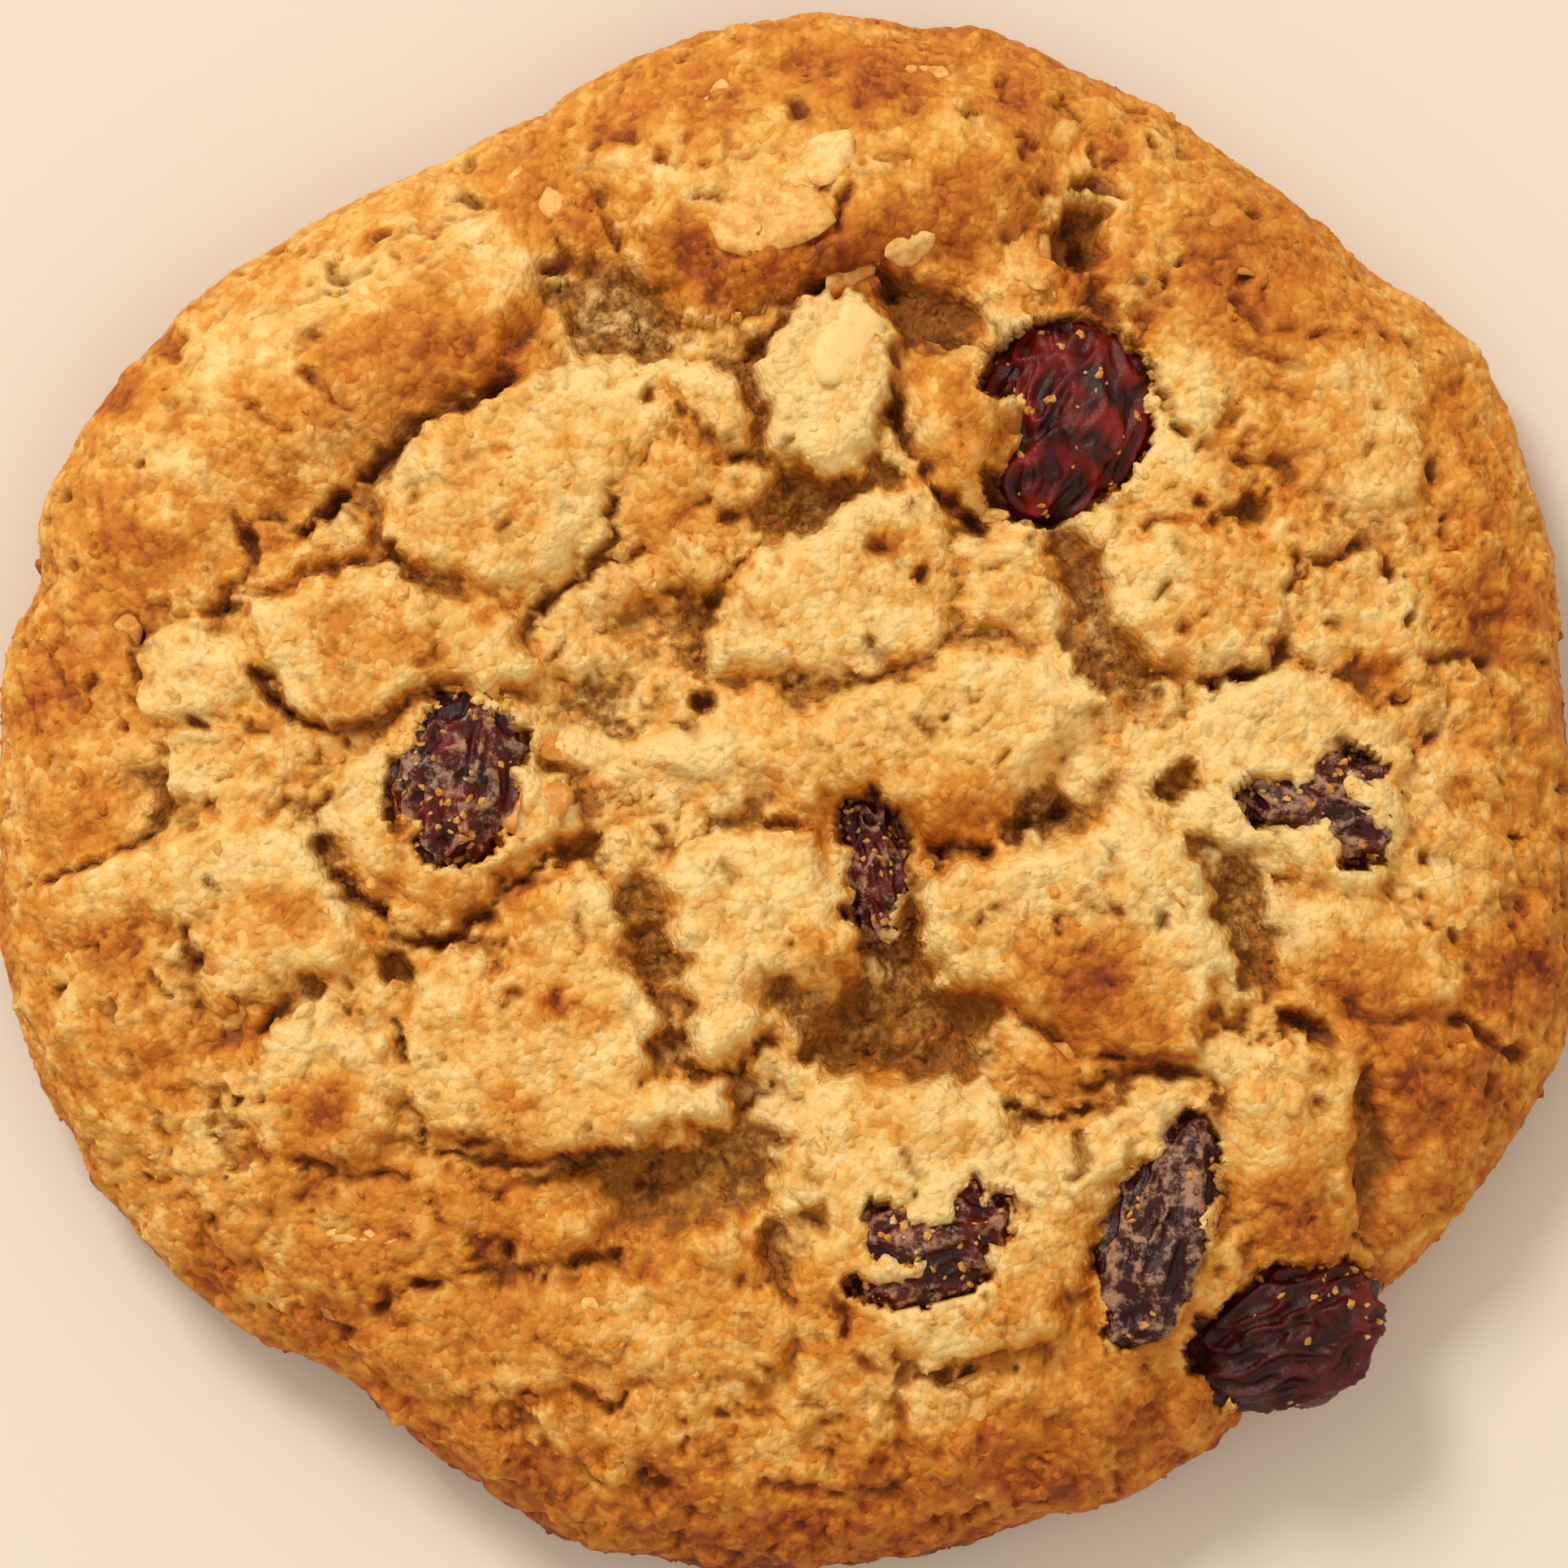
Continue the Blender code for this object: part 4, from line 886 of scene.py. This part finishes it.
def crumb_shape(name, cuts, seed):
    """A broken grain with flat sides, one unit across."""
    bpy.ops.mesh.primitive_ico_sphere_add(subdivisions=cuts, radius=0.5)
    grain = bpy.context.active_object
    grain.name = name
    places = np.zeros(len(grain.data.vertices) * 3)
    grain.data.vertices.foreach_get("co", places)
    places = places.reshape(-1, 3)
    shaper = np.random.default_rng(seed)
    places *= 1.0 + 0.30 * drift(places + seed * 3.1, 0.5, seed)[:, None]
    places += shaper.uniform(-0.10, 0.10, places.shape) / cuts
    places *= [1.0, shaper.uniform(0.6, 0.95), shaper.uniform(0.45, 0.7)]
    grain.data.vertices.foreach_set("co", places.ravel())
    grain.data.shade_flat()
    return grain


def scatter_tree(name, **sockets):
    """Geometry Nodes with the named inputs, and those inputs."""
    tree = bpy.data.node_groups.new(name, "GeometryNodeTree")
    tree.interface.new_socket("Geometry", in_out="OUTPUT", socket_type="NodeSocketGeometry")
    for title, kind in (("Geometry", "Geometry"), *sockets.items(), ("Finish", "Material")):
        tree.interface.new_socket(title.replace("_", " "), in_out="INPUT",
                                  socket_type=f"NodeSocket{kind}")
    return tree, add_node(tree, "NodeGroupInput").outputs


def end_scatter(tree, given, instances):
    """Makes the instances real, gives them their material and passes them on."""
    real = add_node(tree, "GeometryNodeRealizeInstances", {}, {"Geometry": instances.outputs[0]})
    finished = add_node(tree, "GeometryNodeSetMaterial", {},
                        {"Geometry": real.outputs[0], "Material": given["Finish"]})
    add_node(tree, "NodeGroupOutput", {}, {"Geometry": finished.outputs[0]})


FULL_TURNS = (6.283, 6.283, 6.283)


def crumb_scatter(name):
    """Geometry Nodes: grains on a surface, turned every way, part sunk in it."""
    tree, given = scatter_tree(name, Grains="Collection", Spacing="Float", Grains_per_square_metre="Float",
                               Smallest="Float", Largest="Float", Sunk="Float", Seed="Int")
    where = add_node(tree, "GeometryNodeInputNamedAttribute", {"data_type": "FLOAT", "Name": "crumbly"})
    spots = add_node(tree, "GeometryNodeDistributePointsOnFaces", {"distribute_method": "POISSON"},
                     {"Mesh": given["Geometry"], "Distance Min": given["Spacing"],
                      "Density Max": given["Grains per square metre"],
                      "Density Factor": where.outputs["Attribute"], "Seed": given["Seed"]})
    sizes = add_node(tree, "FunctionNodeRandomValue", {"data_type": "FLOAT"},
                     {2: given["Smallest"], 3: given["Largest"], "Seed": given["Seed"]})
    depth = add_node(tree, "ShaderNodeMath", {"operation": "MULTIPLY"},
                     {0: sizes.outputs[1], 1: given["Sunk"]})
    inward = add_node(tree, "ShaderNodeMath", {"operation": "MULTIPLY", 1: -1.0}, {0: depth.outputs[0]})
    sink_by = add_node(tree, "ShaderNodeVectorMath", {"operation": "SCALE"},
                       {"Vector": spots.outputs["Normal"], "Scale": inward.outputs[0]})
    sunk = add_node(tree, "GeometryNodeSetPosition", {},
                    {"Geometry": spots.outputs["Points"], "Offset": sink_by.outputs[0]})
    shapes = add_node(tree, "GeometryNodeCollectionInfo", {"Separate Children": True, "Reset Children": True},
                      {"Collection": given["Grains"]})
    turns = add_node(tree, "FunctionNodeRandomValue", {"data_type": "FLOAT_VECTOR", 1: FULL_TURNS},
                     {"Seed": given["Seed"]})
    grains = add_node(tree, "GeometryNodeInstanceOnPoints", {"Pick Instance": True},
                      {"Points": sunk.outputs[0], "Instance": shapes.outputs[0], "Rotation": turns.outputs[0],
                       "Scale": sizes.outputs[1]})
    shade = add_node(tree, "FunctionNodeRandomValue", {"data_type": "FLOAT", 2: -0.10, 3: 0.10},
                     {"Seed": given["Seed"]})
    toned = add_node(tree, "GeometryNodeStoreNamedAttribute",
                     {"data_type": "FLOAT", "domain": "INSTANCE", "Name": "tone"},
                     {"Geometry": grains.outputs[0], "Value": shade.outputs[1]})
    end_scatter(tree, given, toned)
    return tree


def scattered(name, surface, tree, **inputs):
    """Runs a scatter on a surface's mesh and keeps what it made as a plain mesh object."""
    carrier = bpy.data.objects.new(name, surface)
    bpy.context.scene.collection.objects.link(carrier)
    modifier = carrier.modifiers.new("scatter", "NODES")
    modifier.node_group = tree
    for item in tree.interface.items_tree:
        key = item.name.replace(" ", "_").lower()
        if item.in_out == "INPUT" and key in inputs:
            modifier[item.identifier] = inputs[key]
    graph = bpy.context.evaluated_depsgraph_get()
    made = bpy.data.meshes.new_from_object(carrier.evaluated_get(graph), depsgraph=graph)
    carrier.modifiers.clear()
    carrier.data = made
    made.name = name
    return carrier


raisins_mesh = bpy.data.meshes.new("raisins_together")
raisins_mesh.from_pydata(np.concatenate(raisin_points).tolist(), [], np.concatenate(raisin_faces).tolist())
# Crumbs on the raisins get a fixed browning and a fixed painted hollow shade
for title, values in (("crumbly", np.concatenate(raisin_crumbly)), ("bake", 0.24), ("hollow_shade", 0.30)):
    point_values(raisins_mesh, title, values)

crumb_tree = crumb_scatter("crumb_scatter")
# Surface, cuts of each grain, least spacing in metres, grains for each square metre, smallest and
# largest grain in metres, share sunk in, seed
for name, surface, cuts, spacing, amount, smallest, largest, depth, seed in (
    ("fine_crumbs", mesh, 1, 0.00039, 2.2e6, 0.00030, 0.00072, 0.22, 4),
    ("coarse_crumbs", mesh, 2, 0.0011, 0.5e6, 0.0006, 0.0015, 0.28, 9),
    ("raisin_crumbs", raisins_mesh, 1, 0.00030, 16.0e6, 0.00026, 0.00075, 0.10, 6),
):
    grains = bpy.data.collections.new(f"{name}_shapes")
    shapes = [crumb_shape(f"{name}_{k}", cuts, seed + k) for k in range(5)]
    for shape in shapes:
        grains.objects.link(shape)
    made = scattered(name, surface, crumb_tree, grains=grains, spacing=spacing,
                     grains_per_square_metre=amount, smallest=smallest, largest=largest, sunk=depth,
                     seed=seed, finish=dough_material)
    for shape in shapes:
        bpy.data.objects.remove(shape)
    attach(made, "root")

# ---------------------------------------------------------------------------------------------
# Rolled oats. Steamed and rolled flat into thin oval flakes, they lie in the dough's skin, pale
# and a little glossy. A few show whole on top, and pieces of many more stick out.


def flake_shape(name, seed):
    """A rolled oat, one unit long, with a ragged rim, a crease and a little curl."""
    shaper = np.random.default_rng(seed)
    around, rings = 18, (0.45, 0.78, 1.0)
    rim = 1.0 + 0.10 * np.sin(np.arange(around) * math.tau / around * 3 + seed)
    rim = rim + shaper.uniform(-0.07, 0.07, around)
    places, faces = [], []
    for side in (1, -1):
        first = len(places)
        places.append((0.0, 0.0, side * 0.05))
        for reach in rings:
            for k in range(around):
                angle = math.tau * k / around
                px = 0.5 * reach * rim[k] * math.cos(angle)
                py = 0.34 * reach * rim[k] * math.sin(angle)
                thick = 0.055 * (1.0 - reach**4) + 0.012
                curl = 0.35 * px * px - 0.25 * py * py + 0.02 * math.sin(9 * py + seed)
                curl -= 0.03 * math.exp(-((py / 0.05) ** 2))
                places.append((px, py, side * thick + curl))
        for k in range(around):
            after = (k + 1) % around
            loop = (first, first + 1 + k, first + 1 + after)
            faces.append(loop if side == 1 else loop[::-1])
            for ring in range(len(rings) - 1):
                inner, outer = first + 1 + ring * around, first + 1 + (ring + 1) * around
                loop = (inner + k, outer + k, outer + after, inner + after)
                faces.append(loop if side == 1 else loop[::-1])
    half = len(places) // 2
    last = 1 + (len(rings) - 1) * around
    for k in range(around):
        after = (k + 1) % around
        faces.append((last + k, half + last + k, half + last + after, last + after))
    flake_mesh = bpy.data.meshes.new(name)
    flake_mesh.from_pydata(places, [], faces)
    flake_mesh.shade_smooth()
    return bpy.data.objects.new(name, flake_mesh)


FIBRE = 0.7  # mm, bran streaks, drawn coarser than real ones so that they show


def oat_material():
    """Toasted rolled oat: pale straw with fine lines along the flake and a faint gloss."""
    material, tree, inputs = new_material("rolled_oat", 0.5)
    shade_in = add_node(tree, "ShaderNodeAttribute", {"attribute_name": "shade"}).outputs["Fac"]
    place = add_node(tree, "ShaderNodeTexCoord").outputs["Object"]
    fibre = add_node(tree, "ShaderNodeTexNoise",
                     {"Scale": 1 / (FIBRE * MM), "Detail": 3.0, "Roughness": 0.65}, {"Vector": place})
    toast = add_node(tree, "ShaderNodeMath", {"operation": "MULTIPLY_ADD", 1: 1.1, "use_clamp": True},
                     {0: fibre.outputs["Fac"], 2: shade_in})
    colour = add_node(tree, "ShaderNodeValToRGB", {}, {"Fac": toast.outputs[0]})
    set_colours(colour.color_ramp, ((0.3, "#F7D794"), (0.5, "#EBB762"), (0.75, "#CF8935")))
    tree.links.new(colour.outputs["Color"], inputs["Base Color"])
    bump = add_node(tree, "ShaderNodeBump", {"Strength": 0.6, "Distance": 0.15 * MM},
                    {"Height": fibre.outputs["Fac"]})
    tree.links.new(bump.outputs["Normal"], inputs["Normal"])
    inputs["IOR"].default_value = 1.45
    return material


def oat_layer(name):
    """Geometry Nodes: a flake at each place, turned and sized by the place's own attributes."""
    tree, given = scatter_tree(name, Flakes="Collection")
    lie = add_node(tree, "GeometryNodeInputNamedAttribute", {"data_type": "FLOAT_VECTOR", "Name": "lie"})
    size = add_node(tree, "GeometryNodeInputNamedAttribute", {"data_type": "FLOAT", "Name": "size"})
    shapes = add_node(tree, "GeometryNodeCollectionInfo", {"Separate Children": True, "Reset Children": True},
                      {"Collection": given["Flakes"]})
    flakes = add_node(tree, "GeometryNodeInstanceOnPoints", {"Pick Instance": True},
                      {"Points": given["Geometry"], "Instance": shapes.outputs[0],
                       "Rotation": lie.outputs["Attribute"], "Scale": size.outputs["Attribute"]})
    end_scatter(tree, given, flakes)
    return tree


# Oats that show whole: x, y, length, turn, how deep the middle lies under the skin, shade
OATS = [
    (-0.7, 27.2, 6.0, -18, 0.22, 0.02), (2.1, 30.2, 3.4, 70, 0.0, -0.15), (3.0, 21.0, 4.6, 60, 0.15, -0.3),
    (12.2, 25.4, 3.6, -50, 0.1, -0.02), (13.6, 24.4, 3.2, 30, 0.2, 0.0), (-3.8, 35.2, 2.8, 20, 0.35, 0.0),
    (6.2, 25.8, 2.6, 0, 0.0, -0.12), (7.2, 35.2, 2.4, 30, 0.3, 0.0), (-3.4, 33.8, 2.2, 50, 0.25, -0.05),
    (24.4, -15.0, 3.6, 30, 0.3, -0.05), (-20.6, -23.4, 3.6, 20, 0.3, -0.05), (9.0, -30.9, 3.8, 0, 0.3, 0.0),
]
SOWN_OATS = 30
FLAKE_REACH = 1.7  # mm round a flake's middle that the dough's slope is taken from
sower = np.random.default_rng(21)
for point in sower.choice(np.flatnonzero(on_top * (share < 0.93) > 0.6), SOWN_OATS):
    OATS.append((x[point], y[point], sower.uniform(2.6, 4.2), sower.uniform(0, 180),
                 sower.uniform(0.35, 0.75), sower.uniform(-0.1, 0.25)))
oat_places, oat_lies, oat_sizes, oat_shades = [], [], [], []
for px, py, length, turn, deep, shade in OATS:
    near = dough[(np.hypot(dough[:, 0] - px, dough[:, 1] - py) < FLAKE_REACH) & (on_top > 0.2)]
    level = np.column_stack([near[:, :2] - [px, py], np.ones(len(near))])
    slope = np.linalg.lstsq(level, near[:, 2], rcond=None)[0]
    normal = Vector((-slope[0], -slope[1], 1.0)).normalized()
    turned = normal.to_track_quat("Z", "Y").to_matrix() @ Matrix.Rotation(math.radians(turn), 3, "Z")
    oat_places.append((np.array((px, py, slope[2])) - np.array(normal) * deep) * MM)
    oat_lies.append(turned.to_euler())
    oat_sizes.append(length * MM)
    oat_shades.append(shade)
seeded = bpy.data.meshes.new("oat_places")
seeded.from_pydata([tuple(p) for p in oat_places], [], [])
lies = seeded.attributes.new("lie", "FLOAT_VECTOR", "POINT").data
lies.foreach_set("vector", np.array(oat_lies, np.float32).ravel())
point_values(seeded, "size", np.array(oat_sizes))
point_values(seeded, "shade", np.array(oat_shades))
flakes = bpy.data.collections.new("oat_flakes")
shapes = [flake_shape(f"oat_flake_{k}", 31 + k) for k in range(5)]
for shape in shapes:
    flakes.objects.link(shape)
oats = scattered("rolled_oats", seeded, oat_layer("oat_layer"), flakes=flakes, finish=oat_material())
for shape in shapes:
    bpy.data.objects.remove(shape)
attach(oats, "root")

# ---------------------------------------------------------------------------------------------
# The table under the cookie, the light and the camera. A plain pale table, one large soft light
# from the upper left, a weak one from the lower right, and a long lens from almost straight above.

bpy.ops.mesh.primitive_plane_add(size=3.0, location=(0.0, 0.0, -0.0001))
table = bpy.context.active_object
table.name = "table_top"
table_paint, _, paint = new_material("matt_pale_paint", 0.7)
paint["Base Color"].default_value = linear("#E8E5E0")
table.data.materials.append(table_paint)

world = bpy.data.worlds.new("studio_room")
bpy.context.scene.world = world
world.use_nodes = True
room = world.node_tree.nodes["Background"].inputs
room["Color"].default_value = linear("#FFEBD0")
room["Strength"].default_value = 0.65


def soft_box(name, place, size, power, colour):
    """A square studio light that looks at the cookie."""
    lamp = bpy.data.lights.new(name, "AREA")
    lamp.size, lamp.energy, lamp.color = size, power, linear(colour)[:3]
    lamp_object = bpy.data.objects.new(name, lamp)
    bpy.context.scene.collection.objects.link(lamp_object)
    lamp_object.location = place
    lamp_object.rotation_euler = (-Vector(place)).to_track_quat("-Z", "Y").to_euler()


soft_box("key_light", (-0.64, 1.00, 1.12), 0.52, 16.0, "#FFF4E4")
soft_box("fill_light", (0.8, -0.8, 1.28), 1.28, 3.0, "#FFF3E2")

PICTURE_WIDTH = 77.28  # mm that the picture takes in at the height of the aim
LENS = 280.0
SENSOR = 36.0
camera_data = bpy.data.cameras.new("camera")
camera_data.lens, camera_data.sensor_width = LENS, SENSOR
camera_data.clip_start, camera_data.clip_end = 0.01, 20.0
camera = bpy.data.objects.new("camera", camera_data)
bpy.context.scene.collection.objects.link(camera)
aim = Vector((0.0, -0.0004, 0.008))
lean = math.radians(86.0)
back = Vector((0.0, -math.cos(lean), math.sin(lean)))
camera.location = aim + back * (PICTURE_WIDTH * MM / SENSOR * LENS)
camera.rotation_euler = back.to_track_quat("Z", "Y").to_euler()
bpy.context.scene.camera = camera
bpy.context.scene.view_settings.view_transform = "Standard"
